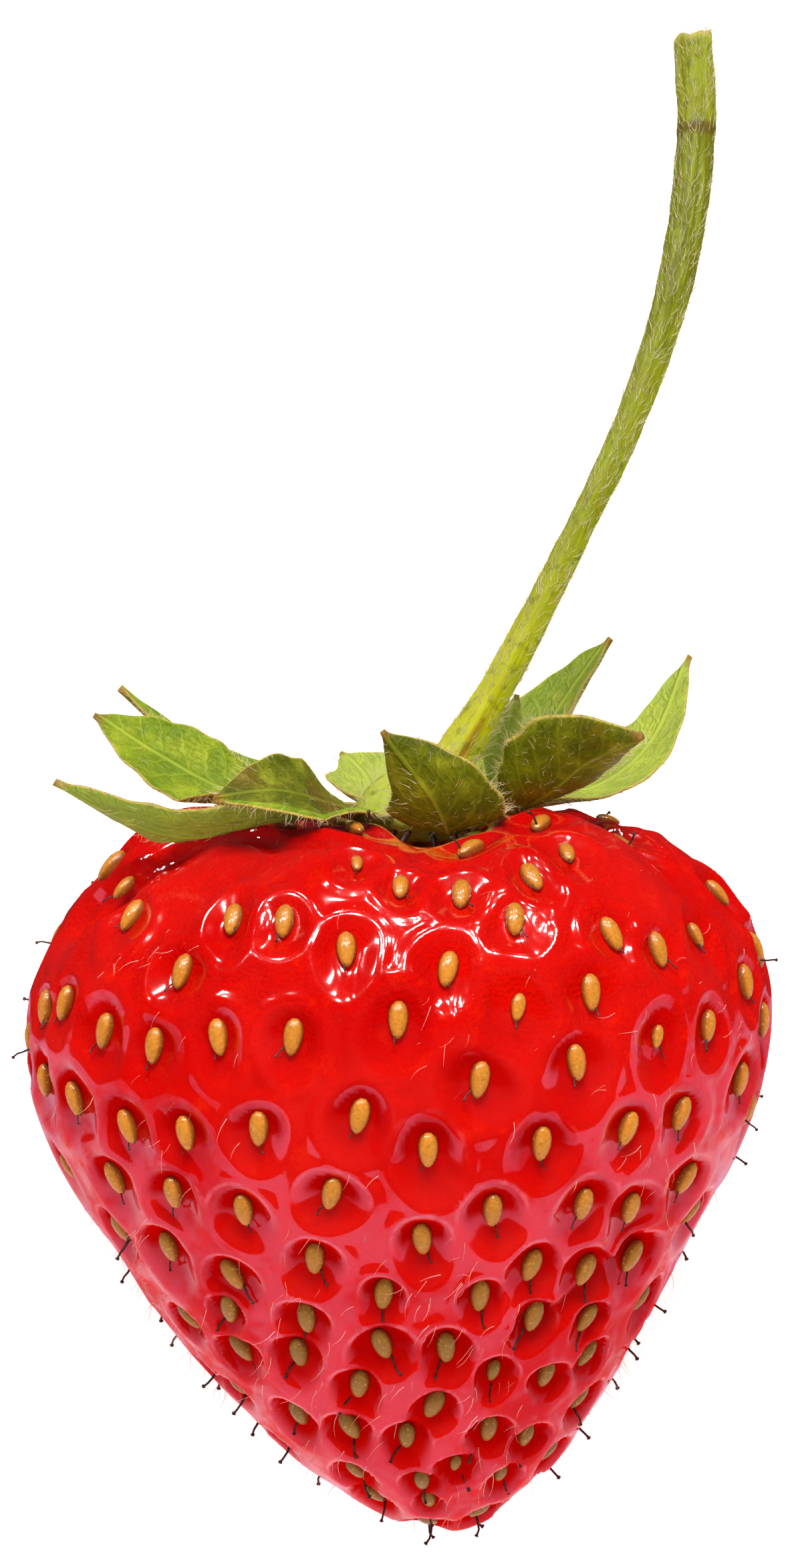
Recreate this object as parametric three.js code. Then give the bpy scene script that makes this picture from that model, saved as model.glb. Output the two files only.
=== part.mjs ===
// A ripe strawberry picked with its stem, lying on its flank. Millimetres, +Z up.
// The origin is the middle of the small flat that the berry is pressed to where it rests.
//
// The fruit is laid out in its own frame and then laid down: there +Z runs from the tip to the
// stem, +X to the right and +Y to the flank that it lies on. Its middle is that frame's origin.

import * as THREE from "three";
import { ConvexHull } from "three/addons/math/ConvexHull.js";
import { mergeVertices } from "three/addons/utils/BufferGeometryUtils.js";

const { cos, sin, abs, sqrt, exp, log, hypot, atan2, min, max, floor, PI } = Math;
const DEG = PI / 180;
const TURN = 2 * PI;

// ---- How it lies -------------------------------------------------------------------------

const LEAN = 25.5 * DEG; // the berry's axis rises this much from the tip to the stem
const BERRY_MIDDLE = new THREE.Vector3(1.15, 0.56, 14.05);
const FLAT_REACH = 3.6; // no pits or achenes this close to the middle of the flat
const FLAT_FADE = 3;

const laidDown = new THREE.Matrix4().makeRotationX(LEAN - PI / 2).setPosition(BERRY_MIDDLE);
const stoodUp = laidDown.clone().invert();

// ---- The berry's skin --------------------------------------------------------------------

// Distance from the berry's middle to its skin, every 15 degrees from the tip to the stem.
const SKIN_RADII = [21.8, 19.9, 17.6, 16.3, 15.8, 16.4, 17.3, 17.8, 17.4, 16.2, 14.1, 11.0, 9.6];
const DEPTH_RATIO = 0.9; // the berry is a little flatter than it is wide
const LEFT_LEAN = 1.55; // how far the belly stands to the left of the tip
const BELLY_HEIGHT = -3;
const LEFT_BEND = 0.0065; // per mm: the tip and the shoulder bend back to the right
const LOBE = 0.42; // height of the shoulder's swellings
// Broad dents in the skin, each centred on a heading and a polar angle, in degrees and mm; a
// depth below zero swells it.
const DENTS = [
  { heading: 272, polar: 150, depth: 1.9, breadth: 26, reach: 22 }, // under the front sepal
  { heading: 0, polar: 132, depth: 0.9, breadth: 45, reach: 20 }, // the lower right shoulder
  { heading: 196, polar: 150, depth: 0.9, breadth: 48, reach: 22 }, // the lower left shoulder
  { heading: 184, polar: 136, depth: -1.3, breadth: 28, reach: 13 }, // the hump on its left
];

const smooth = (x, from, to) => {
  const t = min(1, max(0, (x - from) / (to - from)));
  return t * t * (3 - 2 * t);
};

const leftShift = (z) => LEFT_BEND * (z - BELLY_HEIGHT) ** 2 - LEFT_LEAN;

// A smooth curve through the radii, level at the tip and at the stem.
function profileRadius(polar) {
  const last = SKIN_RADII.length - 1;
  const at = (i) => SKIN_RADII[i < 0 ? -i : i > last ? 2 * last - i : i];
  const along = (polar / PI) * last;
  const i = min(last - 1, floor(along));
  const t = along - i;
  const [a, b, c, d] = [at(i - 1), at(i), at(i + 1), at(i + 2)];
  return b + 0.5 * t * (c - a + t * (2 * a - 5 * b + 4 * c - d + t * (3 * (b - c) + d - a)));
}

function shoulderRelief(polar, heading) {
  const shoulder = smooth(polar, 88 * DEG, 135 * DEG) * (1 - smooth(polar, 158 * DEG, 174 * DEG));
  let relief = LOBE * shoulder * (0.6 * cos(7 * heading + 0.6) + 0.4 * cos(11 * heading + 2.1));
  for (const dent of DENTS) {
    const off = heading - dent.heading * DEG;
    const across = atan2(sin(off), cos(off)) / (dent.breadth * DEG);
    const along = (polar - dent.polar * DEG) / (dent.reach * DEG);
    relief -= dent.depth * exp(-(across ** 2) - along ** 2);
  }
  return relief * (1 - smooth(polar, 165 * DEG, PI));
}

const skinRadius = (polar, heading) => profileRadius(polar) + shoulderRelief(polar, heading);

// The bare skin in a direction from the middle: polar from the tip, heading about the axis.
function skin(polar, heading) {
  const radius = skinRadius(polar, heading);
  const z = -radius * cos(polar);
  const x = radius * sin(polar) * cos(heading) + leftShift(z);
  return new THREE.Vector3(x, radius * sin(polar) * sin(heading) * DEPTH_RATIO, z);
}

// A point's direction from the middle, and how far it stands off the skin along that line.
function bearing(point) {
  const x = point.x - leftShift(point.z);
  const y = point.y / DEPTH_RATIO;
  const polar = atan2(hypot(x, y), -point.z);
  const heading = atan2(y, x);
  return { polar, heading, height: hypot(x, y, point.z) - skinRadius(polar, heading) };
}

// The skin under a nearby point, with its outward normal and its direction from the middle.
function skinUnder(point) {
  const { polar, heading } = bearing(point);
  const step = 0.01;
  const ahead = skin(polar + step, heading).sub(skin(polar - step, heading));
  const around = skin(polar, heading + step).sub(skin(polar, heading - step));
  return {
    polar,
    place: skin(polar, heading),
    normal: around.cross(ahead).normalize(),
    direction: new THREE.Vector3(
      sin(polar) * cos(heading),
      sin(polar) * sin(heading),
      -cos(polar),
    ),
  };
}

// ---- The achenes and their pits ----------------------------------------------------------

// The achenes of the front, by where each stands to an eye straight in front of the berry: mm
// to the right of its middle and above it, and the size where it is a small one.
const EYE = new THREE.Vector3(-1.26, -206, 13.5);
const SEEN_ACHENES = [
  [-13.8, 7.2], [-14.2, 8.5, 0.8], [-9.1, 7], [-6.7, 6.9], [-3.3, 9.6, 0.6],
  [-1.3, 8.5, 0.85], [1.5, 8.2], [4.8, 9], [6.4, 10.1, 0.8], [8.8, 10.6], [8.4, 11.8, 0.7],
  [-11.5, 4.6], [-3.8, 5.6], [0.9, 4.7], [4, 7], [8.5, 6.3], [10.7, 5.6], [12.5, 6.3, 0.75],
  [13.5, 8.3, 0.9], [-17.8, 2.9], [-16.9, 3.1], [-15.1, 1.8], [-12.8, 1.1], [-9.8, 1.5],
  [-6.3, 1.5], [-1.4, 2.3], [4.2, 2.9, 0.75], [7.6, 3.6], [10.7, 1.5, 0.65], [13.1, 2, 0.9],
  [14.8, 4.1], [15.6, 2.3], [-16.5, -1.4], [-14, -2.7], [-11.3, -3], [-7.9, -2.8],
  [-3.2, -2.2], [2.4, -0.5], [6.9, 0.3], [0, -3.8], [5.3, -3.5], [9.3, -2.8], [11.8, -2.1],
  [14.6, -0.5], [-16.8, -4.5, 0.8], [-14.6, -5.1], [-11.9, -5.8], [-8.6, -6.6], [-4.5, -5.8],
  [-0.3, -7.9], [3, -6.6], [7.2, -6.3], [9.4, -6.5], [12, -5.1], [12.2, -6.6, 0.9],
  [-14.3, -7.4], [-14.1, -8.6], [-12.1, -8.3], [-9.1, -9.5], [-5.3, -8.8], [-2.1, -10.4],
  [2.4, -10.5], [4.8, -9.1], [7.3, -9.3], [9.5, -8.7], [9.9, -10.5, 0.9], [-11.2, -11.4],
  [-9.3, -11.1], [-5.7, -11.5], [-2.2, -12.7], [0.8, -12.9], [4.9, -11.4], [7.4, -11.5, 0.9],
  [7.4, -13.1, 0.9], [-8.8, -12.9], [-6.1, -13.1], [-3.3, -14.6], [0.2, -15.5],
  [3, -13.9, 0.7], [5.5, -14.1, 0.9], [7.1, -15.1, 0.9], [-6.2, -15.9], [-3.8, -16.5],
  [-1.1, -17, 0.9], [2.8, -16.6, 0.9], [4.6, -16.9, 0.85], [5.7, -17.6, 0.85],
  [-3.6, -18.6, 0.8], [-2.7, -19.8, 0.8], [-0.4, -19, 0.85], [1.2, -18.2, 0.6],
  [3.4, -18.8, 0.7], [-0.1, -19.9, 0.75], [2.4, -20.5, 0.85], [4.7, -19.9, 0.8],
  [-0.2, -21, 0.85],
];
const GOLDEN_TURN = PI * (3 - sqrt(5));
const SPACING_AT_TIP = 2.95;
const SPACING_AT_SHOULDER = 4.25;
const SPACING_GROWS = [35 * DEG, 85 * DEG];
const HEX_CELL = 0.866; // the area of a six-sided cell at a spacing of 1
const FIRST_ACHENE = 2.5 * DEG;
const LAST_ACHENE = 157 * DEG; // the calyx covers what lies beyond
const ACHENE_STRAY = 0.13; // of the spacing
const CLEAR_OF_SEEN = 0.8; // of the spacing
const GRAZING = 0.3; // a skin that faces the eye less than this shows no achenes
const CLEAR_OF_FLAT = 0.5; // no achene where nearFlat is above this
const ACHENE_LENGTH = 1.8;
const ACHENE_WIDTH = 1.02;
const ACHENE_HEIGHT = 0.5;
const ACHENE_LEAN = 16 * DEG; // the most that one leans from the line to the tip
const SIZE_STRAY = 0.1;
const SMALLER_AT_TIP = 0.16;
const PIT_LENGTH = 0.82; // of the spacing
const PIT_WIDTH = 0.66;
const PIT_DROP = 0.09; // a pit's middle lies this far below its achene, of the spacing
const PIT_DEPTH_AT_TIP = 0.65;
const PIT_DEPTH_AT_SHOULDER = 0.36;
const RIM_POINTS = 7; // round a pit, and then round the foot and along the top of its achene
const FOOT_POINTS = 6;
const TOP_POINTS = 2;
// The stem end, the tip and the flat have no achenes: plain rings of points close the skin there.
const END_RINGS = [[1, 180], [7, 174], [12, 167], [18, 161], [1, 0]]; // count, polar degrees
const FLAT_RINGS = [[1, 0], [6, 0.5 * FLAT_REACH], [12, FLAT_REACH]]; // count, reach

// Even draws between -1 and 1, the same on every run.
let draw = 20011;
function stray() {
  draw = (draw * 16807) % 2147483647;
  return (2 * draw) / 2147483647 - 1;
}

const shoulderShare = (polar) => smooth(polar, ...SPACING_GROWS);
const spacingAt = (polar) =>
  SPACING_AT_TIP + shoulderShare(polar) * (SPACING_AT_SHOULDER - SPACING_AT_TIP);

const pitDepthAt = (polar) =>
  PIT_DEPTH_AT_TIP + shoulderShare(polar) * (PIT_DEPTH_AT_SHOULDER - PIT_DEPTH_AT_TIP);

// The skin over the place where a line of sight gets as deep as a pit's floor, or closest to it.
function skinInSight([x, z]) {
  const sight = new THREE.Vector3(x, 0, z).sub(EYE);
  let nearest = { left: Infinity };
  for (let share = 0.9; share < 1.05 && nearest.left > 0; share += 0.0004) {
    const point = EYE.clone().addScaledVector(sight, share);
    const { polar, height } = bearing(point);
    const left = height + pitDepthAt(polar);
    if (left < nearest.left) nearest = { left, point };
  }
  return skinUnder(nearest.point);
}

// Out of sight each achene takes its own cell of skin, a golden turn on from the one before.
function hiddenAchenes(seen) {
  const hidden = [];
  const step = 0.02 * DEG;
  let swept = 0;
  let heading = 0;
  for (let polar = FIRST_ACHENE; polar < LAST_ACHENE; polar += step) {
    const radius = profileRadius(polar);
    const ring = radius * sin(polar);
    const slope = (profileRadius(polar + step) - radius) / step;
    swept += PI * (1 + DEPTH_RATIO) * ring * hypot(radius, slope) * step;
    const spacing = spacingAt(polar);
    const cell = HEX_CELL * spacing ** 2;
    if (swept < cell) continue;
    swept -= cell;
    heading += GOLDEN_TURN;
    const strayed = ACHENE_STRAY * spacing;
    const strayedPolar = polar + (stray() * strayed) / radius;
    const strayedHeading = heading + (stray() * strayed) / max(ring, spacing);
    const size = 1 + SIZE_STRAY * stray() - SMALLER_AT_TIP * (1 - shoulderShare(polar));
    const under = skinUnder(skin(strayedPolar, strayedHeading));
    const toEye = EYE.clone().sub(under.place).normalize();
    const clear = seen.every((s) => s.place.distanceTo(under.place) > CLEAR_OF_SEEN * spacing);
    if (clear && under.normal.dot(toEye) < GRAZING) hidden.push({ ...under, size });
  }
  return hidden;
}

function acheneSites() {
  const seen = SEEN_ACHENES.map(([x, z, size = 1]) => ({ ...skinInSight([x, z]), size }));
  const all = [...seen, ...hiddenAchenes(seen)].filter(({ place }) => nearFlat(place) <= CLEAR_OF_FLAT);
  return all.map(({ polar, place, normal, size }) => {
    const others = all.filter((other) => other.place !== place);
    const room = min(...others.map((other) => other.place.distanceTo(place)));
    const spacing = min(spacingAt(polar), room);
    const toTip = new THREE.Vector3(0, 0, -1).addScaledVector(normal, normal.z).normalize();
    toTip.applyAxisAngle(normal, stray() * ACHENE_LEAN);
    const side = new THREE.Vector3().crossVectors(normal, toTip);
    const depth = (pitDepthAt(polar) * (1 - nearFlat(place)) * spacing) / spacingAt(polar);
    return { place, toTip, side, spacing, size, depth };
  });
}

// 1 on the flat that the berry rests on, and 0 away from it.
function nearFlat(place) {
  const { x, y, z } = place.clone().applyMatrix4(laidDown);
  return 1 - smooth(hypot(x, y, z), FLAT_REACH, FLAT_REACH + FLAT_FADE);
}

// A ring of points round a place on the skin, raised or sunk along the skin's normal.
function ringOnSkin(site, { count, length, width, drop = 0, raised, start = 0 }) {
  return Array.from({ length: count }, (_, i) => {
    const angle = ((i + start) / count) * TURN;
    const at = site.place
      .clone()
      .addScaledVector(site.toTip, drop + 0.5 * length * cos(angle))
      .addScaledVector(site.side, 0.5 * width * sin(angle));
    return { ...skinUnder(at), raised };
  });
}

function berryGeometry() {
  const relief = [];
  for (const site of acheneSites()) {
    const { spacing, depth, size } = site;
    const length = ACHENE_LENGTH * size;
    const width = ACHENE_WIDTH * size;
    const top = ACHENE_HEIGHT * size - depth;
    const rim = { length: PIT_LENGTH * spacing, width: PIT_WIDTH * spacing, raised: 0 };
    relief.push(
      ...ringOnSkin(site, { count: RIM_POINTS, ...rim, drop: PIT_DROP * spacing, start: 0.5 }),
      ...ringOnSkin(site, { count: FOOT_POINTS, length, width, raised: -depth }),
      ...ringOnSkin(site, { count: TOP_POINTS, length: 0.5 * length, width: 0, raised: top }),
    );
  }
  const plain = (place) => relief.push({ ...skinUnder(place), raised: 0 });
  for (const [count, polar] of END_RINGS) {
    for (let i = 0; i < count; i++) {
      plain(skin(polar * DEG, (i / count) * TURN));
    }
  }
  for (const [count, reach] of FLAT_RINGS) {
    for (let i = 0; i < count; i++) {
      const angle = (i / count) * TURN;
      plain(new THREE.Vector3(reach * cos(angle), reach * sin(angle), 0).applyMatrix4(stoodUp));
    }
  }

  // Joined as on a ball, where the shell round the points' directions is their best net.
  relief.forEach((point, i) => {
    point.direction.index = i;
  });
  const net = new ConvexHull().setFromPoints(relief.map((point) => point.direction));
  const positions = [];
  for (const face of net.faces) {
    let edge = face.edge;
    do {
      const { place, normal, raised } = relief[edge.head().point.index];
      const vertex = place.clone().addScaledVector(normal, raised).applyMatrix4(laidDown);
      positions.push(vertex.x, vertex.y, max(0, vertex.z));
      edge = edge.next;
    } while (edge !== face.edge);
  }
  const geometry = new THREE.BufferGeometry();
  geometry.setAttribute("position", new THREE.Float32BufferAttribute(positions, 3));
  return mergeVertices(geometry, 1e-4);
}

// ---- Sweeps: the stem and the leaves -----------------------------------------------------

// Rings of corners round a curve, in frames that turn no more than the curve does.
// shape(at) gives a ring's corners as [along the frame's normal, along its side].
function sweptRings(curve, shares, firstNormal, shape, twist = () => 0) {
  const normal = firstNormal.clone();
  return shares.map((at) => {
    const place = curve.getPointAt(at);
    const tangent = curve.getTangentAt(at);
    normal.addScaledVector(tangent, -normal.dot(tangent)).normalize();
    const turned = normal.clone().applyAxisAngle(tangent, twist(at));
    const side = new THREE.Vector3().crossVectors(tangent, turned);
    return shape(at).map(([out, across]) =>
      place.clone().addScaledVector(turned, out).addScaledVector(side, across),
    );
  });
}

// Closes rings of equal length into a solid. A ring's second half runs back along its first, so
// both faces of a blade are split into triangles alike, and each end closes as a strip.
function closedLoft(rings) {
  const corners = rings.flat();
  const count = rings[0].length;
  const half = count / 2;
  const index = [];
  const quad = (a, b, c, d) => index.push(a, b, d, b, c, d);
  for (let r = 0; r + 1 < rings.length; r++) {
    for (let i = 0; i < count; i++) {
      const [a, b] = [r * count + i, r * count + ((i + 1) % count)];
      if (i < half) quad(a, b, b + count, a + count);
      else quad(b, b + count, a + count, a);
    }
  }
  const last = corners.length - count;
  for (let i = 0; i + 1 < half; i++) {
    const [a, b, c, d] = [i, i + 1, count - 2 - i, count - 1 - i];
    quad(d, c, b, a);
    quad(last + a, last + b, last + c, last + d);
  }
  const geometry = new THREE.BufferGeometry().setFromPoints(corners);
  geometry.setIndex(index);
  return geometry;
}

// Reads a table of [place, value] pairs between its rows. The last row lies past every reading.
function between(table, at) {
  const next = max(1, table.findIndex(([place]) => place >= at));
  const [[from, low], [to, high]] = [table[next - 1], table[next]];
  return low + ((at - from) / (to - from)) * (high - low);
}

// ---- The stem, with the green disc that the calyx grows from -----------------------------

const HUB_CENTRE_X = -0.2;
const HUB_RADIUS = 3.4;
const STEM_ROUTE = [
  [HUB_CENTRE_X, 0, 10.8],
  [HUB_CENTRE_X, 0, 12.2],
  [HUB_CENTRE_X, 0, 13],
  [1.3, 0.1, 14.8],
  [3.6, 0.3, 18.6],
  [7, 0.9, 25.2],
  [9.7, 1.6, 30.9],
  [11.9, 2.6, 37.5],
  [13, 4, 44.8],
  [12.9, 4.8, 49.6],
];
// [mm along the route, radius]: the disc, the swollen foot, the slim middle and the cut end.
const STEM_RADII = [
  [0, 1.6],
  [0.4, 2.8],
  [0.7, HUB_RADIUS],
  [1.9, HUB_RADIUS],
  [2.3, 1.9],
  [3.1, 1.25],
  [4.6, 1.02],
  [8, 0.82],
  [17, 0.66],
  [25, 0.76],
  [32, 0.9],
  [41, 0.93],
  [46, 0.85],
];
const FOOT_ROWS = 7; // of the table above, kept where they are
const STEM_SIDES = 12;
const STEM_STEPS = 26;

function stemGeometry() {
  const route = new THREE.CatmullRomCurve3(STEM_ROUTE.map((place) => new THREE.Vector3(...place)));
  const length = route.getLength();
  const shares = STEM_RADII.slice(0, FOOT_ROWS).map(([along]) => along / length);
  const foot = shares.at(-1);
  for (let i = 1; i <= STEM_STEPS; i++) {
    const share = i / STEM_STEPS;
    shares.push(foot * (1 - share) + share);
  }
  const round = (at) => {
    const radius = between(STEM_RADII, at * length);
    return Array.from({ length: STEM_SIDES }, (_, i) => {
      const angle = (i / STEM_SIDES) * TURN;
      return [radius * cos(angle), radius * sin(angle)];
    });
  };
  return closedLoft(sweptRings(route, shares, new THREE.Vector3(0, -1, 0), round));
}

// ---- The calyx: broad sepals with narrow bractlets between them --------------------------

const LEAF_THICKNESS = 0.6;
const LEAF_STEPS = 10;
const LEAF_GAP = 0.55; // between the disc and a leaf's foot
const SKIN_GAP = 0.4; // between the skin and a leaf that lies along it
// [share of the length, share of the width]: a narrow foot, a belly and a drawn-out point.
const LEAF_OUTLINE = [
  [0, 0.34],
  [0.1, 0.52],
  [0.2, 0.78],
  [0.3, 0.94],
  [0.4, 1],
  [0.5, 0.98],
  [0.6, 0.88],
  [0.7, 0.72],
  [0.8, 0.51],
  [0.9, 0.29],
  [1, 0.08],
];

const LEAF_BELLY = 0.4; // where the outline is broadest

// Each leaf leaves the disc at a heading and a height, and its rib runs on through two places to
// its tip. cup lifts its two edges from the rib and twist turns its face, both in degrees. belly
// is the share of its length where it is broadest, and spread how soon it gets that broad.
const LEAVES = {
  sepal_1: {
    ...{ heading: 284, rise: 11.7, width: 5.6, cup: 14, twist: 0, belly: 0.4, spread: 0.9 },
    rib: [[0.9, -6.4, 11.5], [0.2, -8.2, 12.95], [-2.1, -8.8, 15.9]],
  },
  sepal_2: {
    ...{ heading: 324, rise: 11.9, width: 6.4, cup: 25, twist: -15, belly: 0.55, spread: 0 },
    rib: [[5.3, -5, 13.1], [7.4, -7, 14.75], [9.7, -8.4, 15.7]],
  },
  sepal_3: {
    ...{ heading: 60, rise: 12.3, width: 4.8, cup: 30, twist: 0, belly: 0.4, spread: 0 },
    rib: [[4.5, 6.8, 14], [6.6, 8.6, 17.2], [9.1, 9.6, 20.7]],
  },
  sepal_4: {
    ...{ heading: 122, rise: 12.3, width: 4.8, cup: 20, twist: 0, belly: 0.5, spread: 0 },
    rib: [[-2.6, 6, 12.9], [-3.1, 7.6, 13.9], [-4.2, 8.6, 15]],
  },
  sepal_5: {
    ...{ heading: 172, rise: 12.4, width: 4.5, cup: 15, twist: -48, belly: 0.58, spread: 0 },
    rib: [[-9, 1.2, 12.9], [-12.9, 1.6, 14.85], [-15.9, 1.8, 16.8]],
  },
  sepal_6: {
    ...{ heading: 236, rise: 11.8, width: 4.5, cup: 15, twist: -48, belly: 0.5, spread: 0.2 },
    rib: [[-4.6, -6.4, 12.5], [-7.0, -8.6, 13.1], [-9.7, -9.8, 12.8]],
  },
  bractlet_1: {
    ...{ heading: 352, rise: 12.45, width: 3.8, cup: 15, twist: 40, belly: 0.4, spread: 0 },
    rib: [[8.2, -0.3, 13.4], [10.6, 0.2, 15.4], [12.5, 1.6, 19.6]],
  },
  bractlet_2: {
    ...{ heading: 26, rise: 12.2, width: 2.8, cup: 15, twist: 0, belly: 0.5, spread: 0 },
    rib: [[4, 2.4, 13.3], [3.9, 3, 15.5], [4.3, 3.2, 17.8]],
  },
  bractlet_3: {
    ...{ heading: 150, rise: 11.8, width: 2.8, cup: 15, twist: 0, belly: 0.4, spread: 0 },
    rib: [[-8, 4.9, 13.8], [-12, 6.2, 15.7], [-15, 6.8, 18.2]],
  },
  bractlet_4: {
    ...{ heading: 205, rise: 11.6, width: 3.4, cup: 10, twist: 35, belly: 0.5, spread: 0 },
    rib: [[-6.8, -6.2, 11.7], [-11.6, -7.8, 11.3], [-17.1, -6.8, 13.6]],
  },
};

// A leaf that comes down to the skin is eased off it, the same for the two faces at each place.
function easedOffSkin(ring) {
  const opposite = ring.toReversed();
  return ring.map((corner, i) => {
    const middle = corner.clone().add(opposite[i]).multiplyScalar(0.5);
    const short = SKIN_GAP + 0.5 * LEAF_THICKNESS - bearing(middle).height;
    return corner.clone().addScaledVector(skinUnder(middle).normal, max(0, short));
  });
}

function leafGeometry({ heading, rise, rib, width, cup, twist, belly, spread }) {
  const out = new THREE.Vector3(cos(heading * DEG), sin(heading * DEG), 0);
  const foot = new THREE.Vector3(HUB_CENTRE_X, 0, rise).addScaledVector(out, HUB_RADIUS + LEAF_GAP);
  const route = new THREE.CatmullRomCurve3([foot, ...rib.map((place) => new THREE.Vector3(...place))]);
  const lanes = [-1, -0.5, 0, 0.5, 1];
  const pushed = log(LEAF_BELLY) / log(belly);
  const blade = (at) => {
    const outline = between(LEAF_OUTLINE, at ** pushed);
    const early = spread * smooth(at, 0, 0.2) * (1 - smooth(at, 0.3, 0.5));
    const reach = 0.5 * width * (outline + early * (1 - outline));
    const skinAt = (lift) => (across) => {
      const fold = cup * DEG * across;
      return [
        abs(across) * reach * sin(abs(fold)) + lift * cos(fold),
        across * reach * cos(fold) - lift * sin(fold),
      ];
    };
    return [
      ...lanes.map(skinAt(0.5 * LEAF_THICKNESS)),
      ...lanes.toReversed().map(skinAt(-0.5 * LEAF_THICKNESS)),
    ];
  };
  const shares = Array.from({ length: LEAF_STEPS + 1 }, (_, i) => i / LEAF_STEPS);
  const turned = (at) => twist * DEG * min(1, 2 * at);
  const rings = sweptRings(route, shares, new THREE.Vector3(0, 0, 1), blade, turned);
  return closedLoft(rings.map(easedOffSkin));
}

// ---- The whole fruit ---------------------------------------------------------------------

const flesh = new THREE.MeshStandardMaterial({ color: 0xc4120c, roughness: 0.25, metalness: 0 });
const stalk = new THREE.MeshStandardMaterial({ color: 0x8ba32c, roughness: 0.7, metalness: 0 });
const leaf = new THREE.MeshStandardMaterial({ color: 0x5f8420, roughness: 0.65, metalness: 0 });

function node(name, geometry, material) {
  const mesh = new THREE.Mesh(geometry, material);
  mesh.name = name;
  geometry.computeVertexNormals();
  return mesh;
}

const green = new THREE.Group();
green.applyMatrix4(laidDown);
green.add(node("stem", stemGeometry(), stalk));
for (const [name, form] of Object.entries(LEAVES)) {
  green.add(node(name, leafGeometry(form), leaf));
}

const strawberry = new THREE.Group();
strawberry.add(node("berry", berryGeometry(), flesh), green);

export default strawberry;
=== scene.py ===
import math

import bmesh
import bpy
import numpy as np
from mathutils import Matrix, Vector


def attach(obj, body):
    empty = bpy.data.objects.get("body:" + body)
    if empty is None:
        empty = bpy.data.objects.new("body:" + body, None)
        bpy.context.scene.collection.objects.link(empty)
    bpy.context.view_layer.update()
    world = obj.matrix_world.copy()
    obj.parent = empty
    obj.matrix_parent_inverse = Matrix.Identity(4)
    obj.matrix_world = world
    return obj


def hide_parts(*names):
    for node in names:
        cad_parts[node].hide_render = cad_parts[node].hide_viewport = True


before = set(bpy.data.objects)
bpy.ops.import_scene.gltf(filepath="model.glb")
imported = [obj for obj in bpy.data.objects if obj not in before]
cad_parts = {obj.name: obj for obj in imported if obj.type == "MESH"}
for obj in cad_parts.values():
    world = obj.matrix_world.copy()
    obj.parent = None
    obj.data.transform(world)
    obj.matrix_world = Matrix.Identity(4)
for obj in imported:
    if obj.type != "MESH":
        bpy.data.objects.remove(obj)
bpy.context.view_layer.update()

MM = 0.001

# ---- The table, the light and the camera ----
# The fruit lies on a pale table that glows softly from below, under soft lamps, seen from above.
# A few small bright lamps high behind it put sharp sparks on its wet skin.


class Signal:
    """A node's output that takes part in sums: each operator adds its Math node."""

    def __init__(self, wiring, socket):
        self.wiring = wiring
        self.socket = socket

    def math(self, operation, *others):
        terms = dict(enumerate((self, *others)))
        return self.wiring.add("ShaderNodeMath", {"operation": operation}, terms)

    def __add__(self, other):
        return self.math("ADD", other)

    def __mul__(self, other):
        return self.math("MULTIPLY", other)

    def __sub__(self, other):
        return self.math("SUBTRACT", other)

    def __rsub__(self, other):
        return self.math("MULTIPLY_ADD", -1.0, other)

    __radd__ = __add__
    __rmul__ = __mul__

    def rise(self, low, high):
        """0 up to low and 1 from high on, with a smooth slope between them."""
        limits = {"Value": self, "From Min": low, "From Max": high}
        return self.wiring.add("ShaderNodeMapRange", {"interpolation_type": "SMOOTHSTEP"}, limits)

    def of(self, name):
        """Another output of the same node."""
        return Signal(self.wiring, self.socket.node.outputs[name])


class Wiring:
    """One node tree in the making."""

    def __init__(self, tree):
        self.tree = tree
        tree.nodes.clear()

    def add(self, kind, settings=(), sockets=(), output=0):
        """A node with its settings, then the values or links of its sockets."""
        node = self.tree.nodes.new(kind)
        for name, value in dict(settings).items():
            setattr(node, name, value)
        for name, value in dict(sockets).items():
            if isinstance(value, Signal):
                self.tree.links.new(value.socket, node.inputs[name])
            else:
                node.inputs[name].default_value = value
        return Signal(self, node.outputs[output]) if node.outputs else None

    def mix(self, share, first, second):
        """A colour that goes from the first to the second."""
        return self.add("ShaderNodeMix", {"data_type": "RGBA"}, {0: share, 6: first, 7: second}, 2)

    def layered(self, base, *layers):
        """A colour with others laid over it in turn: each a share and its screen values."""
        base = base if isinstance(base, Signal) else colour(*base)
        for share, tint in layers:
            base = self.mix(share, base, colour(*tint))
        return base

    def vector(self, operation, first, second, output=0):
        """Sums with vectors; output 1 is the one that holds a plain number."""
        sockets = {0: first, 3 if operation == "SCALE" else 1: second}
        return self.add("ShaderNodeVectorMath", {"operation": operation}, sockets, output)

    def noise(self, place, scale, detail=2.0, roughness=0.5):
        sockets = {"Vector": place, "Scale": scale, "Detail": detail, "Roughness": roughness}
        return self.add("ShaderNodeTexNoise", (), sockets)

    def bump(self, height, depth, normal=None):
        """A normal that follows a height between 0 and 1, which stands for a depth in metres."""
        sockets = {"Height": height, "Distance": depth, "Strength": 1.0}
        if normal:
            sockets["Normal"] = normal
        return self.add("ShaderNodeBump", (), sockets)

    def object_place(self):
        return self.add("ShaderNodeTexCoord").of("Object")

    def attribute(self, name, output="Fac"):
        return self.add("ShaderNodeAttribute", {"attribute_name": name}).of(output)

    def surface(self, **sockets):
        """Ends a material's tree; a socket's name is given with _ for each space."""
        named = {name.replace("_", " "): value for name, value in sockets.items()}
        shader = self.add("ShaderNodeBsdfPrincipled", (), named)
        self.add("ShaderNodeOutputMaterial", (), {"Surface": shader})


def new_finish(name):
    finish = bpy.data.materials.new(name)
    finish.use_nodes = True
    return finish, Wiring(finish.node_tree)


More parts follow.
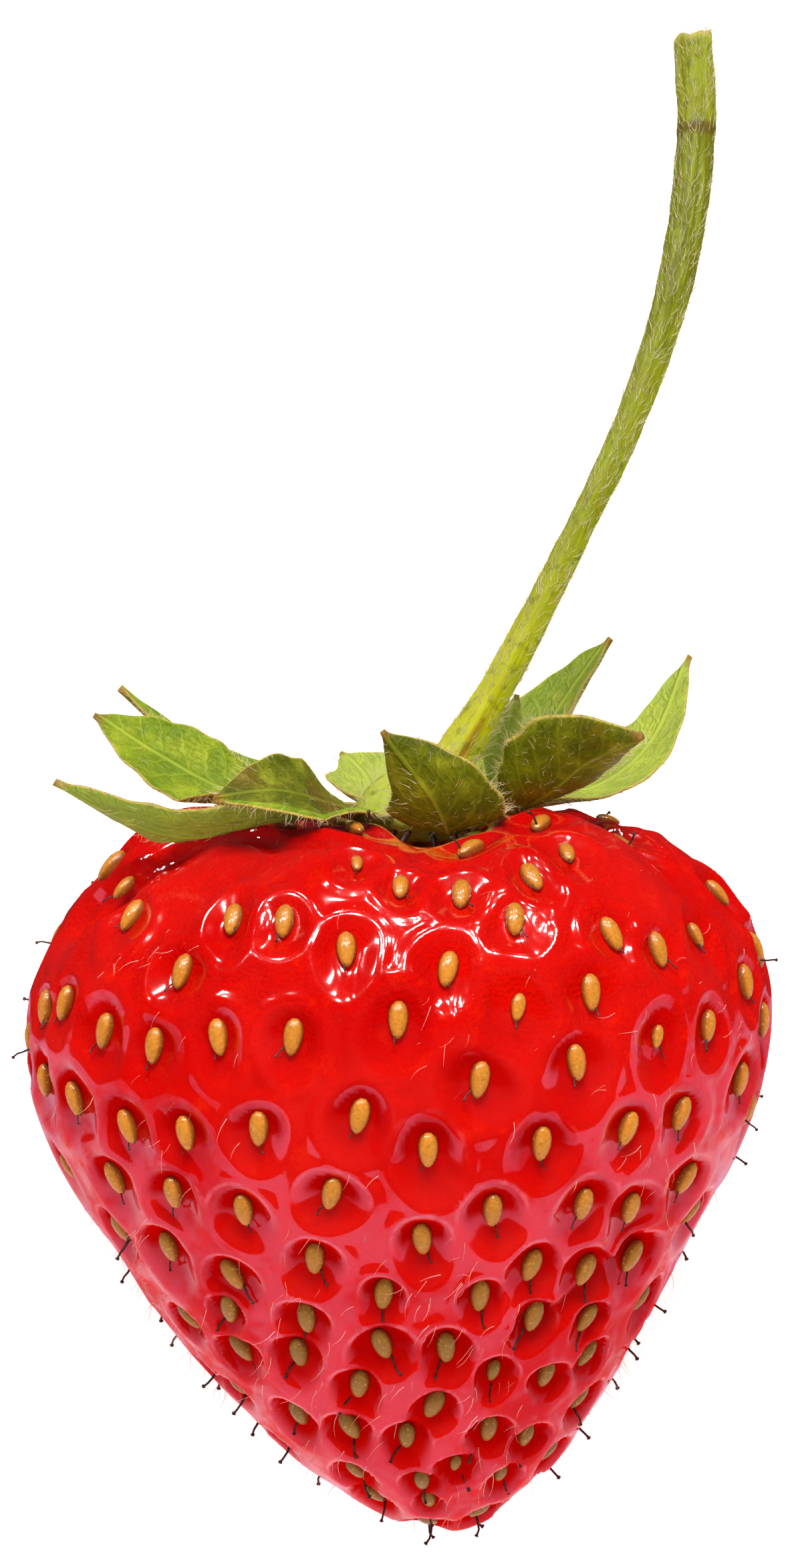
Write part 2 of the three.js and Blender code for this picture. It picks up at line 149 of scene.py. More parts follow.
def colour(red, green, blue):
    """A colour by its screen values, 0 to 255."""
    screen = [value / 255 for value in (red, green, blue)]
    return (*[v / 12.92 if v < 0.04 else ((v + 0.055) / 1.055) ** 2.4 for v in screen], 1)


def placed(name, data):
    """A mesh, a camera or a light as an object of the scene."""
    thing = bpy.data.objects.new(name, data)
    bpy.context.scene.collection.objects.link(thing)
    return thing


def new_piece(name, points, faces, finish):
    """A smooth mesh object with its place in its mesh and its faces outwards, in metres."""
    mesh = bpy.data.meshes.new(name)
    mesh.from_pydata(np.asarray(points).tolist(), [], faces)
    shell = bmesh.new()
    shell.from_mesh(mesh)
    bmesh.ops.recalc_face_normals(shell, faces=shell.faces)
    shell.to_mesh(mesh)
    shell.free()
    mesh.shade_smooth()
    mesh.materials.append(finish)
    return placed(name, mesh)


TABLE_HALF = 3.0
table_finish, w = new_finish("matt_table")
grain = w.noise(w.object_place(), 900, 3)
w.surface(
    Base_Color=w.layered((238, 238, 238), (grain, (244, 244, 243))),
    Roughness=0.9,
    Normal=w.bump(grain, 0.02 * MM),
    Specular_IOR_Level=0.1,
    Emission_Color=(1, 1, 1, 1),
    Emission_Strength=0.7,
)
table_corners = [(x * TABLE_HALF, y * TABLE_HALF, 0) for x, y in ((-1, -1), (1, -1), (1, 1), (-1, 1))]
table = new_piece("table", table_corners, [(0, 1, 2, 3)], table_finish)
table.visible_glossy = False

# The camera looks down on the fruit, square to the berry's axis.
LEAN = math.radians(25.5)
AIM = Vector((-0.11, 12.75, 19.86)) * MM
EYE_DISTANCE = 206 * MM
eye = placed("camera", bpy.data.cameras.new("camera"))
eye.data.lens = 100
eye.data.sensor_width = 36
eye.data.clip_start = 10 * MM
eye.location = AIM + EYE_DISTANCE * Vector((0, -math.sin(LEAN), math.cos(LEAN)))
eye.rotation_euler = (LEAN, 0, 0)
bpy.context.scene.camera = eye


def lamp(name, bearing, elevation, distance, size, power, tint, **seen_by):
    """An area light aimed at the fruit, by the bearing it stands at; bearing 0 is in front."""
    light = bpy.data.lights.new(name, "AREA")
    light.shape = "RECTANGLE"
    light.size, light.size_y = size
    light.energy = power
    light.color = tint
    turn, rise = math.radians(bearing), math.radians(elevation)
    away = Vector((math.sin(turn) * math.cos(rise), -math.cos(turn) * math.cos(rise), math.sin(rise)))
    holder = placed(name, light)
    holder.location = Vector((0, 0, 14 * MM)) + away * distance
    holder.rotation_euler = away.to_track_quat("Z", "Y").to_euler()
    holder.visible_camera = False
    for kind, seen in seen_by.items():
        setattr(holder, "visible_" + kind, seen)


DAYLIGHT = (1.0, 0.98, 0.94)
SPARKS = [  # bearing and elevation
    (184, 70), (162, 62), (206, 62), (142, 52), (224, 52), (240, 40), (186, 44), (160, 38),
    (212, 36),
]
for number, (bearing, elevation) in enumerate(SPARKS):
    name = f"spark_{number}"
    lamp(name, bearing, elevation, 0.9, (0.05, 0.05), 2.4, DAYLIGHT, diffuse=False)
lamp("sun", 178, 66, 1.2, (0.5, 0.5), 16, DAYLIGHT, glossy=False)
lamp("fill", 0, 50, 1.2, (1.6, 1.2), 11, (1.0, 1.0, 1.0), glossy=False)

# What the wet skin mirrors: bright lilac where the berry's tip points, pale at a grazing angle,
# and dark elsewhere. The light edge dips in front of the camera. The table is left out of it.
TIPWARD = (0, -math.cos(LEAN), -math.sin(LEAN))
EYEWARD = (0, -math.sin(LEAN), math.cos(LEAN))
DARK = (0.02, 0.02, 0.025, 1)
LILAC = (0.66, 0.36, 0.58, 1)
PALE = (1.0, 0.86, 0.95, 1)
world = bpy.data.worlds.new("studio")
world.use_nodes = True
world.cycles_visibility.diffuse = False
bpy.context.scene.world = world
w = Wiring(world.node_tree)
way = w.add("ShaderNodeTexCoord")
to_tip = w.vector("DOT_PRODUCT", way, TIPWARD, 1)
to_eye = w.vector("DOT_PRODUCT", way, EYEWARD, 1)
dip = to_eye.math("MAXIMUM", 0.0).math("POWER", 2.0) * 3.2
glow = w.mix((to_tip - dip).rise(0.0, 0.07), DARK, LILAC)
grazing = (to_eye * -1.0).rise(0.2, 0.75) * to_tip.rise(0.0, 0.4)
glow = w.mix(grazing * 0.85, glow, PALE)
by_camera = w.add("ShaderNodeLightPath")
sky = w.mix(by_camera, glow, colour(246, 246, 246))
w.add("ShaderNodeOutputWorld", (), {"Surface": w.add("ShaderNodeBackground", (), {"Color": sky})})
bpy.context.scene.view_settings.view_transform = "Standard"

# ---- The flesh ----
# One soft, heart-shaped body with a thin shiny skin. Each achene lies in a pit of its own:
# shallow craters round the shoulder, and deep horseshoes with a net of ridges towards the tip.

BERRY_MIDDLE = (1.15, 0.56, 14.05)
SKIN_RADII = [21.8, 19.9, 17.6, 16.3, 15.8, 16.4, 17.3, 17.8, 17.4, 16.2, 14.1, 11.0, 9.6]
DEPTH_RATIO = 0.9  # the berry is a little flatter than it is wide
LEFT_LEAN = 1.55  # how far the belly stands to the left of the tip
BELLY_HEIGHT = -3
LEFT_BEND = 0.0065  # per mm: the tip and the shoulder bend back to the right
LOBE = 0.42  # height of the shoulder's swellings
DENTS = [  # heading, polar angle, depth, breadth, reach: degrees and mm
    (272, 150, 1.9, 26, 22),
    (0, 132, 0.9, 45, 20),
    (196, 150, 0.9, 48, 22),
    (184, 136, -1.3, 28, 13),
]
BALL_CELLS = 127  # along each edge of the cube that the skin's net is blown up from
FLAT_REACH = 3.6  # no pits or achenes this close to the middle of the flat
FLAT_FADE = 3


def turned_down(vectors):
    """Turns directions of the standing berry into those of the lying one."""
    x, y, z = np.moveaxis(np.asarray(vectors, float), -1, 0)
    rise, run = math.sin(LEAN), math.cos(LEAN)
    return np.stack([x, rise * y + run * z, rise * z - run * y], axis=-1)


def laid_down(points):
    """Turns points of the standing berry, in mm, into those of the lying one, in metres."""
    return (turned_down(points) + BERRY_MIDDLE) * MM


def smooth(x, low, high):
    """0 up to low and 1 from high on, with a smooth slope between them."""
    t = np.clip((x - low) / (high - low), 0, 1)
    return t * t * (3 - 2 * t)


def turned_past(angle, low, high):
    """The same for an angle, between limits in degrees."""
    return smooth(angle, math.radians(low), math.radians(high))


def full_turn(count):
    """Even angles, once round."""
    return np.linspace(0, 2 * math.pi, count, endpoint=False)


def unit(vectors):
    return vectors / np.maximum(np.linalg.norm(vectors, axis=-1, keepdims=True), 1e-12)


def dot(a, b):
    return (a * b).sum(-1)


def through(values, share):
    """A smooth curve through evenly spaced values, level at both ends; share goes from 0 to 1."""
    values = np.asarray(values, float)
    last = len(values) - 1
    along = np.clip(share, 0, 1) * last
    i = np.minimum(np.floor(along).astype(int), last - 1)
    t = along - i
    a, b, c, d = (values[np.abs(last - np.abs(last - (i + k)))] for k in (-1, 0, 1, 2))
    return b + 0.5 * t * (c - a + t * (2 * a - 5 * b + 4 * c - d + t * (3 * (b - c) + d - a)))


def left_shift(z):
    return LEFT_BEND * (z - BELLY_HEIGHT) ** 2 - LEFT_LEAN


def skin_radius(polar, heading):
    """The bare skin's distance from the berry's middle: polar angle from the tip, in mm."""
    shoulder = turned_past(polar, 88, 135) * (1 - turned_past(polar, 158, 174))
    lobes = 0.6 * np.cos(7 * heading + 0.6) + 0.4 * np.cos(11 * heading + 2.1)
    relief = LOBE * shoulder * lobes
    for toward, down, depth, breadth, reach in DENTS:
        off = heading - math.radians(toward)
        across = np.arctan2(np.sin(off), np.cos(off)) / math.radians(breadth)
        along = (polar - math.radians(down)) / math.radians(reach)
        relief = relief - depth * np.exp(-(across**2) - along**2)
    relief = relief * (1 - turned_past(polar, 165, 180))
    return through(SKIN_RADII, polar / math.pi) + relief


def skin(polar, heading):
    radius = skin_radius(polar, heading)
    z = -radius * np.cos(polar)
    x = radius * np.sin(polar) * np.cos(heading) + left_shift(z)
    return np.stack([x, radius * np.sin(polar) * np.sin(heading) * DEPTH_RATIO, z], axis=-1)


def skin_normal(polar, heading):
    step = 0.01
    ahead = skin(polar + step, heading) - skin(polar - step, heading)
    around = skin(polar, heading + step) - skin(polar, heading - step)
    return unit(np.cross(around, ahead))


def bearings(points):
    """Polar angles and headings of points, and how far they stand off the skin."""
    x, y, z = np.moveaxis(points, -1, 0)
    x = x - left_shift(z)
    y = y / DEPTH_RATIO
    polar, heading = np.arctan2(np.hypot(x, y), -z), np.arctan2(y, x)
    return polar, heading, np.sqrt(x * x + y * y + z * z) - skin_radius(polar, heading)


def near_flat(points):
    """1 on the flat that the berry rests on, and 0 away from it."""
    reach = np.linalg.norm(laid_down(points), axis=-1) / MM
    return 1 - smooth(reach, FLAT_REACH, FLAT_REACH + FLAT_FADE)


# The achenes of the front, by where each stands to an eye straight in front of the berry: mm
# to the right of its middle and above it, and the size where it is a small one.
EYE = (-1.26, -206, 13.5)
SEEN_ACHENES = [
    (-13.8, 7.2), (-14.2, 8.5, 0.8), (-9.1, 7), (-6.7, 6.9), (-3.3, 9.6, 0.6),
    (-1.3, 8.5, 0.85), (1.5, 8.2), (4.8, 9), (6.4, 10.1, 0.8), (8.8, 10.6), (8.4, 11.8, 0.7),
    (-11.5, 4.6), (-3.8, 5.6), (0.9, 4.7), (4, 7), (8.5, 6.3), (10.7, 5.6), (12.5, 6.3, 0.75),
    (13.5, 8.3, 0.9), (-17.8, 2.9), (-16.9, 3.1), (-15.1, 1.8), (-12.8, 1.1), (-9.8, 1.5),
    (-6.3, 1.5), (-1.4, 2.3), (4.2, 2.9, 0.75), (7.6, 3.6), (10.7, 1.5, 0.65), (13.1, 2, 0.9),
    (14.8, 4.1), (15.6, 2.3), (-16.5, -1.4), (-14, -2.7), (-11.3, -3), (-7.9, -2.8),
    (-3.2, -2.2), (2.4, -0.5), (6.9, 0.3), (0, -3.8), (5.3, -3.5), (9.3, -2.8), (11.8, -2.1),
    (14.6, -0.5), (-16.8, -4.5, 0.8), (-14.6, -5.1), (-11.9, -5.8), (-8.6, -6.6), (-4.5, -5.8),
    (-0.3, -7.9), (3, -6.6), (7.2, -6.3), (9.4, -6.5), (12, -5.1), (12.2, -6.6, 0.9),
    (-14.3, -7.4), (-14.1, -8.6), (-12.1, -8.3), (-9.1, -9.5), (-5.3, -8.8), (-2.1, -10.4),
    (2.4, -10.5), (4.8, -9.1), (7.3, -9.3), (9.5, -8.7), (9.9, -10.5, 0.9), (-11.2, -11.4),
    (-9.3, -11.1), (-5.7, -11.5), (-2.2, -12.7), (0.8, -12.9), (4.9, -11.4), (7.4, -11.5, 0.9),
    (7.4, -13.1, 0.9), (-8.8, -12.9), (-6.1, -13.1), (-3.3, -14.6), (0.2, -15.5),
    (3, -13.9, 0.7), (5.5, -14.1, 0.9), (7.1, -15.1, 0.9), (-6.2, -15.9), (-3.8, -16.5),
    (-1.1, -17, 0.9), (2.8, -16.6, 0.9), (4.6, -16.9, 0.85), (5.7, -17.6, 0.85),
    (-3.6, -18.6, 0.8), (-2.7, -19.8, 0.8), (-0.4, -19, 0.85), (1.2, -18.2, 0.6),
    (3.4, -18.8, 0.7), (-0.1, -19.9, 0.75), (2.4, -20.5, 0.85), (4.7, -19.9, 0.8),
    (-0.2, -21, 0.85),
]
GOLDEN_TURN = math.pi * (3 - math.sqrt(5))
GOLDEN_SHARE = 0.618034
SPACING_AT_TIP = 2.95
SPACING_AT_SHOULDER = 4.25
HEX_CELL = 0.866  # the area of a six-sided cell at a spacing of 1
SWEEP_STEP = math.radians(0.02)
FIRST_ACHENE = math.radians(2.5)
ACHENES_REACH = math.radians(154.5)  # on from the first; the calyx covers the rest
STRAY = 0.13  # of the spacing
CLEAR_OF_SEEN = 0.8  # of the spacing
CLEAR_OF_FLAT = 0.5  # no achene where near_flat is above this
CROWDED_AT_TIP = 2.3  # mm between neighbours
CROWDED_AT_SHOULDER = 3.3
SMALLEST_PIT = 0.6
GRAZING = 0.3  # a skin that faces the eye less than this shows no achenes
MOST_LEAN = math.radians(16)
SIZE_STRAY = 0.1
SMALLER_AT_TIP = 0.16
PIT_DEPTH_AT_TIP = 0.65
PIT_DEPTH_AT_SHOULDER = 0.36


def draws(value=20011):
    """Even draws between -1 and 1, the same on every run."""
    while True:
        value = value * 16807 % 2147483647
        yield 2 * value / 2147483647 - 1


stray = draws().__next__


def shoulder_share(polar):
    return turned_past(polar, 35, 85)


def spacing_at(polar):
    return SPACING_AT_TIP + shoulder_share(polar) * (SPACING_AT_SHOULDER - SPACING_AT_TIP)


def pit_depth_at(polar):
    return PIT_DEPTH_AT_TIP + shoulder_share(polar) * (PIT_DEPTH_AT_SHOULDER - PIT_DEPTH_AT_TIP)


def skin_in_sight(places):
    """Directions of the skin where lines of sight get as deep as a pit's floor, or closest to it."""
    sights = np.insert(places, 1, 0, axis=1) - EYE
    shares = np.arange(0.9, 1.05, 0.0004)[:, None]
    polar, heading, height = bearings(sights[:, None] * shares + EYE)
    left = height + pit_depth_at(polar)
    first = np.where((left <= 0).any(1), np.argmax(left <= 0, 1), np.argmin(left, 1))
    rows = np.arange(len(places))
    return polar[rows, first], heading[rows, first]


def hidden_achenes(seen):
    """Out of sight each takes its own cell of skin, a golden turn on from the one before."""
    polars = FIRST_ACHENE + SWEEP_STEP * np.arange(int(ACHENES_REACH / SWEEP_STEP))
    radii = through(SKIN_RADII, polars / math.pi)
    slopes = (through(SKIN_RADII, (polars + SWEEP_STEP) / math.pi) - radii) / SWEEP_STEP
    girths = math.pi * (1 + DEPTH_RATIO) * radii * np.sin(polars)
    hidden = []
    swept = heading = 0
    for polar, radius, band in zip(polars, radii, girths * np.hypot(radii, slopes) * SWEEP_STEP):
        swept += band
        spacing = float(spacing_at(polar))
        cell = HEX_CELL * spacing**2
        if swept < cell:
            continue
        swept -= cell
        heading += GOLDEN_TURN
        strayed_polar = polar + stray() * STRAY * spacing / radius
        strayed_heading = heading + stray() * STRAY * spacing / max(radius * math.sin(polar), spacing)
        size = 1 + SIZE_STRAY * stray() - SMALLER_AT_TIP * (1 - float(shoulder_share(polar)))
        place = skin(strayed_polar, strayed_heading)
        facing = dot(skin_normal(strayed_polar, strayed_heading), unit(EYE - place))
        apart = np.linalg.norm(seen - place, axis=1).min()
        if apart > CLEAR_OF_SEEN * spacing and facing < GRAZING:
            hidden.append((strayed_polar, strayed_heading, size))
    return hidden


def achene_sites():
    """Each achene's place and size, its ways out of the skin and to the tip, and its pit."""
    looked_at = np.array([(*seen[:2], seen[2] if len(seen) > 2 else 1) for seen in SEEN_ACHENES])
    polar, heading = skin_in_sight(looked_at[:, :2])
    hidden = np.array(hidden_achenes(skin(polar, heading)))
    polar, heading, size = np.concatenate([[polar, heading, looked_at[:, 2]], hidden.T], axis=1)
    kept = near_flat(skin(polar, heading)) <= CLEAR_OF_FLAT
    polar, heading, size = polar[kept], heading[kept], size[kept]
    place, normal = skin(polar, heading), skin_normal(polar, heading)
    between = np.linalg.norm(place[:, None] - place, axis=-1) + 99 * np.eye(len(place))
    up = shoulder_share(polar)
    crowded = CROWDED_AT_TIP + up * (CROWDED_AT_SHOULDER - CROWDED_AT_TIP)
    scale = np.clip(between.min(1) / crowded, SMALLEST_PIT, 1)
    level = unit(normal * normal[:, 2:] - (0, 0, 1))
    lean = np.array([[stray() * MOST_LEAN] for _ in place])
    to_tip = level * np.cos(lean) + np.cross(normal, level) * np.sin(lean)
    depth = pit_depth_at(polar) * (1 - near_flat(place)) * scale
    limb = dot(normal, unit(EYE - place)) < GRAZING
    pit = dict(scale=scale, depth=depth, up=up, limb=limb)
    return dict(place=place, normal=normal, to_tip=to_tip, size=size, **pit)


def ball_net(cells):
    """A cube's square cells blown up to a ball: the directions of its corners, and its faces."""
    steps = np.tan(np.linspace(-1, 1, cells + 1) * math.pi / 4)
    a, b = np.meshgrid(steps, steps, indexing="ij")
    corner = np.arange((cells + 1) ** 2).reshape(cells + 1, cells + 1)
    quads = np.stack([corner[:-1, :-1], corner[1:, :-1], corner[1:, 1:], corner[:-1, 1:]], -1)
    points, faces = [], []
    for axis in range(3):
        for side in (-1, 1):
            sheet = np.stack([np.full_like(a, side), a * side, b], -1)
            faces.append(quads.reshape(-1, 4) + len(points) * corner.size)
            points.append(np.roll(sheet, axis, -1).reshape(-1, 3))
    points = unit(np.concatenate(points))
    _, first, merged = np.unique(
        np.round(points, 7), axis=0, return_index=True, return_inverse=True
    )
    return points[first], merged.reshape(-1)[np.concatenate(faces)]


def vertex_normals(points, quads):
    corners = points[quads]
    face_normals = np.cross(corners[:, 2] - corners[:, 0], corners[:, 3] - corners[:, 1])
    normals = np.zeros_like(points)
    for k in range(4):
        np.add.at(normals, quads[:, k], face_normals)
    return unit(normals)


sites = achene_sites()
directions, skin_faces = ball_net(BALL_CELLS)
polar = np.arctan2(np.hypot(directions[:, 0], directions[:, 1]), -directions[:, 2])
heading = np.arctan2(directions[:, 1], directions[:, 0])
bare = skin(polar, heading)
bare_normals = vertex_normals(bare, skin_faces)

PIT_UP = 1.4  # a pit's reach from its middle, in mm where it isn't crowded
PIT_DOWN = 1.75
PIT_SIDE = 1.35
PIT_DROP = 0.15
WIDER_AT_SHOULDER = 0.33
LIP_HEIGHT = 0.13
LIP_HEIGHT_AT_TIP = 0.04
LIP_WIDTH = 0.2
LIP_RING = 1.12  # where the lip crests; 1 is the pit's edge
UNEVEN = 0.13  # how much pits differ in size and in breadth
PIT_SEARCH = 2.6  # corners further off than this many pits aren't in one

pits, lips, inside, hoods, brows = np.zeros((5, len(bare)))
rings = np.full(len(bare), 2.0)
for k in range(len(sites["place"])):
    up = sites["up"][k]
    scale = sites["scale"][k] * (1 + WIDER_AT_SHOULDER * up) * (1 + UNEVEN * math.sin(7.3 * k))
    breadth = PIT_SIDE * scale * (1 + UNEVEN * math.sin(5.1 * k + 1))
    offset = bare - sites["place"][k]
    near = np.flatnonzero(dot(offset, offset) < (PIT_SEARCH * PIT_DOWN) ** 2)
    down = offset[near] @ sites["to_tip"][k] - PIT_DROP * scale
    aside = offset[near] @ np.cross(sites["normal"][k], sites["to_tip"][k])
    reach = np.where(down < 0, PIT_UP, PIT_DOWN) * scale
    ring = np.hypot(down / reach, aside / breadth)
    clock = np.arctan2(aside, -down)
    ring = ring * (1 + 0.06 * np.sin(2 * clock + 2.4 * k) + 0.04 * np.sin(3 * clock + 1.7 * k))
    upper = 0.5 + 0.5 * np.cos(clock)
    socket = 1 - smooth(ring, 0.3, 1)
    overhang = 1 - smooth(ring, 0.6, 1)
    ramp = np.clip(1 - ring, 0, 1) * (1 - smooth(ring, 0.8, 1.0))
    cut = ramp + upper * (overhang - ramp)
    hollow = cut + up * (socket - cut)
    pits[near] += (sites["depth"][k] * hollow) ** 4
    inside[near] = np.maximum(inside[near], 1 - smooth(ring, 0.3 + 0.5 * upper, 1.05))
    # Each pit's hood is the skin under its upper wall. The flesh's colour paints shade there, and its
    # coat is taken away there.
    hood_edge = 0.97 - 0.15 * up
    hood = 1 - smooth(ring, hood_edge - 0.05 - 0.4 * (1 - upper), hood_edge + 0.1 * (1 - upper))
    hoods[near] = np.maximum(hoods[near], hood * (1 - up * (1 - smooth(upper, 0.3, 0.6))))
    # Painted highlight: the upper rim of the nearest pit, where a pale line is painted on.
    brows[near] = np.where(ring < rings[near], smooth(upper, 0.35, 0.8), brows[near])
    height = LIP_HEIGHT_AT_TIP + up * (LIP_HEIGHT - LIP_HEIGHT_AT_TIP)
    lip = height * np.exp(-(((ring - LIP_RING) / LIP_WIDTH) ** 2)) * (1 - near_flat(bare[near]))
    lips[near] = np.maximum(lips[near], lip)
    rings[near] = np.minimum(rings[near], ring)
pits = pits**0.25

CREASES = [  # from and to as the eye sees them, depth, and how far it eases out below
    ((3.7, -12), (9.8, -7.5), 0.55, 2.2),
    ((-16.6, 6.8), (-10.9, 10.5), 0.7, 3.0),
    ((-15.6, 9.3), (-11.2, 11.6), 0.25, 1.2),
    ((-8.3, 11), (-4.6, 10.6), 0.3, 1.6),
    ((6.7, 11.8), (11.4, 8.9), 0.22, 1.4),
    ((12.8, 9.2), (15.9, 5.2), 0.3, 1.6),
]
CREST = 0.14  # height of the fold over a crease
folds = np.zeros(len(bare))
for start, end, depth, ease in CREASES:
    polar_ends, heading_ends = skin_in_sight(np.array([start, end]))
    first, last = skin(polar_ends, heading_ends)
    course = last - first
    facing = skin_normal(polar_ends.mean(), heading_ends.mean())
    below = unit(np.cross(course, facing))
    below = below * -np.sign(below[2])
    share = (bare - first) @ course / (course @ course)
    under = (bare - first) @ below + 0.25 * np.sin(9 * share)
    ends = smooth(share, -0.2, 0.15) * (1 - smooth(share, 0.85, 1.2)) * (bare_normals @ facing > 0.2)
    crest = CREST * np.exp(-(((under + 0.35) / 0.22) ** 2))
    folds += ends * (depth * smooth(under, -0.2, 0.35) * (1 - smooth(under, 0.4, ease)) - crest)

raised = lips * (1 - smooth(pits, 0.02, 0.3)) - pits - folds
flesh_points = laid_down(bare + bare_normals * raised[:, None])
flesh_points[:, 2] = np.maximum(flesh_points[:, 2], 0)

flesh_finish, w = new_finish("flesh_skin")
place = w.object_place()
hooded = w.attribute("hooded")
off_rim = (w.attribute("ring") - 1.0).math("ABSOLUTE")
brow = (1 - off_rim.rise(0.02, 0.09)) * w.attribute("brow")
mottle = w.noise(place, 900, 4, 0.6)
blotch = w.noise(place, 160, 3)
shoulder = w.attribute("shoulder")
grain = w.noise(place, 5600, 2)
cloudy = (blotch * 0.6 + mottle * 0.4).rise(0.44, 0.6)
red = w.layered(
    (230, 15, 4),
    (blotch.rise(0.35, 0.7), (206, 7, 4)),
    (mottle.rise(0.55, 0.75) * 0.35, (242, 44, 12)),
    (grain.rise(0.45, 0.7) * 0.3, (196, 3, 2)),
    # Painted shade: the red is painted deeper inside each pit.
    (w.attribute("pit") * (0.55 - shoulder * 0.45), (186, 2, 4)),
    # Painted shade: darker red under each pit's overhanging upper wall.
    (hooded * (0.45 - shoulder * 0.35), (160, 0, 1)),
    # Painted highlight: a pale pink line along each pit's upper rim, a painted reflection of the
    # light on the wet edge.
    (brow * mottle.rise(0.35, 0.6) * 0.3, (248, 150, 168)),
    (w.attribute("crown") * 0.8, (196, 104, 30)),
)
ripples = w.bump(w.noise(place, 520, 1) * shoulder, 0.4 * MM)
dimples = w.bump(grain * (shoulder * 0.88 + 0.12), 0.12 * MM, ripples)
w.surface(
    Base_Color=red,
    Roughness=0.5,
    Specular_IOR_Level=0.0,
    Normal=w.bump(blotch, 0.12 * MM, dimples),
    Subsurface_Weight=0.15,
    Subsurface_Radius=(1.0, 0.12, 0.06),
    Subsurface_Scale=1.2 * MM,
    Coat_Weight=1 - hooded.math("MAXIMUM", cloudy * 0.75),
    Coat_Roughness=0.085,
    Coat_IOR=2.1,
)


def store(piece, **attributes):
    """Keeps numbers or vectors at every corner of a piece's mesh."""
    for name, values in attributes.items():
        values = np.asarray(values, float)
        kind, field = ("FLOAT", "value") if values.ndim == 1 else ("FLOAT_VECTOR", "vector")
        piece.data.attributes.new(name, kind, "POINT").data.foreach_set(field, values.ravel())


flesh = new_piece("berry_flesh", flesh_points, skin_faces.tolist(), flesh_finish)
store(
    flesh,
    pit=inside,
    ring=rings,
    hooded=hoods * (1 - turned_past(polar, 108, 122)),
    brow=brows * (1 - turned_past(polar, 70, 92)),
    shoulder=turned_past(polar, 85, 110),
    crown=turned_past(polar, 156, 168),
)
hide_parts("berry")
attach(flesh, "root")

# ---- The achenes ----
# The berry's true fruits: hard, glossy tan grains, round above and pointed towards the tip,
# each on the floor of its pit.

ACHENE_LENGTH = 1.7
ACHENE_WIDTH = 0.92
ACHENE_THICKNESS = 0.74
ACHENE_POINTING = 0.16  # how much slimmer it is towards its point
ACHENE_BEDDED = 0.16  # its middle stands this far above the pit's floor
ACHENE_SIDES = 10
ACHENE_RINGS = 7
CLEAR_OF_TABLE = 0.02


def loft(rings):
    """The corners and faces of a skin over rings of corners, closed with a face at each end."""
    count, sides = rings.shape[:2]
    corner = np.arange(count * sides).reshape(count, sides)
    beside = np.roll(corner, -1, axis=1)
    quads = np.stack([corner[:-1], beside[:-1], beside[1:], corner[1:]], -1).reshape(-1, 4)
    return rings.reshape(-1, 3), [*quads.tolist(), corner[0, ::-1].tolist(), corner[-1].tolist()]


def on_rings(rings, *values):
    """A number for each corner of some rings, or a vector where three values are given."""
    spread = [np.broadcast_to(value, rings.shape[:2]).ravel() for value in values]
    return np.stack(spread, -1) if len(values) > 1 else spread[0]


def grown(name, base, tree, **sizes):
    """Keeps what a geometry tree makes on an object as a piece that stays clear of the table."""
    modifier = base.modifiers.new(tree.name, "NODES")
    modifier.node_group = tree
    for socket in tree.interface.items_tree:
        if socket.in_out == "INPUT" and socket.name in sizes:
            modifier[socket.identifier] = sizes[socket.name]
    base.update_tag()
    evaluated = base.evaluated_get(bpy.context.evaluated_depsgraph_get())
    mesh = bpy.data.meshes.new_from_object(evaluated)
    base.modifiers.remove(modifier)
    mesh.name = name
    for corner in mesh.vertices:
        if corner.co.z < CLEAR_OF_TABLE * MM:
            corner.co.z = CLEAR_OF_TABLE * MM
    mesh.update()
    return placed(name, mesh)


ALIGN = "FunctionNodeAlignRotationToVector"


def new_tree(name, inputs):
    """A geometry tree with its named inputs, its wiring and the node that brings them in."""
    tree = bpy.data.node_groups.new(name, "GeometryNodeTree")
    tree.interface.new_socket("Geometry", in_out="INPUT", socket_type="NodeSocketGeometry")
    tree.interface.new_socket("Geometry", in_out="OUTPUT", socket_type="NodeSocketGeometry")
    for socket_name, kind in inputs.items():
        tree.interface.new_socket(socket_name, in_out="INPUT", socket_type="NodeSocket" + kind)
    w = Wiring(tree)
    return tree, w, w.add("NodeGroupInput")


def named(w, name, kind="FLOAT"):
    """An attribute of the mesh or the points that a geometry tree works on."""
    return w.add("GeometryNodeInputNamedAttribute", {"data_type": kind}, {"Name": name})


def chance(w, low, high, seed):
    """An even random number for each point."""
    limits = {2: low, 3: high, "Seed": seed}
    return w.add("FunctionNodeRandomValue", {"data_type": "FLOAT"}, limits, 1)


def spun(w, rotation, angle):
    """A rotation after a turn about its own upright."""
    turn = w.add("FunctionNodeAxisAngleToRotation", (), {"Axis": (0, 0, 1), "Angle": angle})
    both = {"Rotation": rotation, "Rotate By": turn}
    return w.add("FunctionNodeRotateRotation", {"rotation_space": "LOCAL"}, both)


def end_tree(w, points, copy, rotation, scale, finish):
    """A tree gives back a copy on each point, as real faces with a material."""
    sockets = {"Points": points, "Instance": copy, "Rotation": rotation, "Scale": scale}
    copies = w.add("GeometryNodeInstanceOnPoints", (), sockets)
    real = w.add("GeometryNodeRealizeInstances", (), {"Geometry": copies})
    shown = w.add("GeometryNodeSetMaterial", (), {"Geometry": real, "Material": finish})
    w.add("NodeGroupOutput", (), {0: shown})


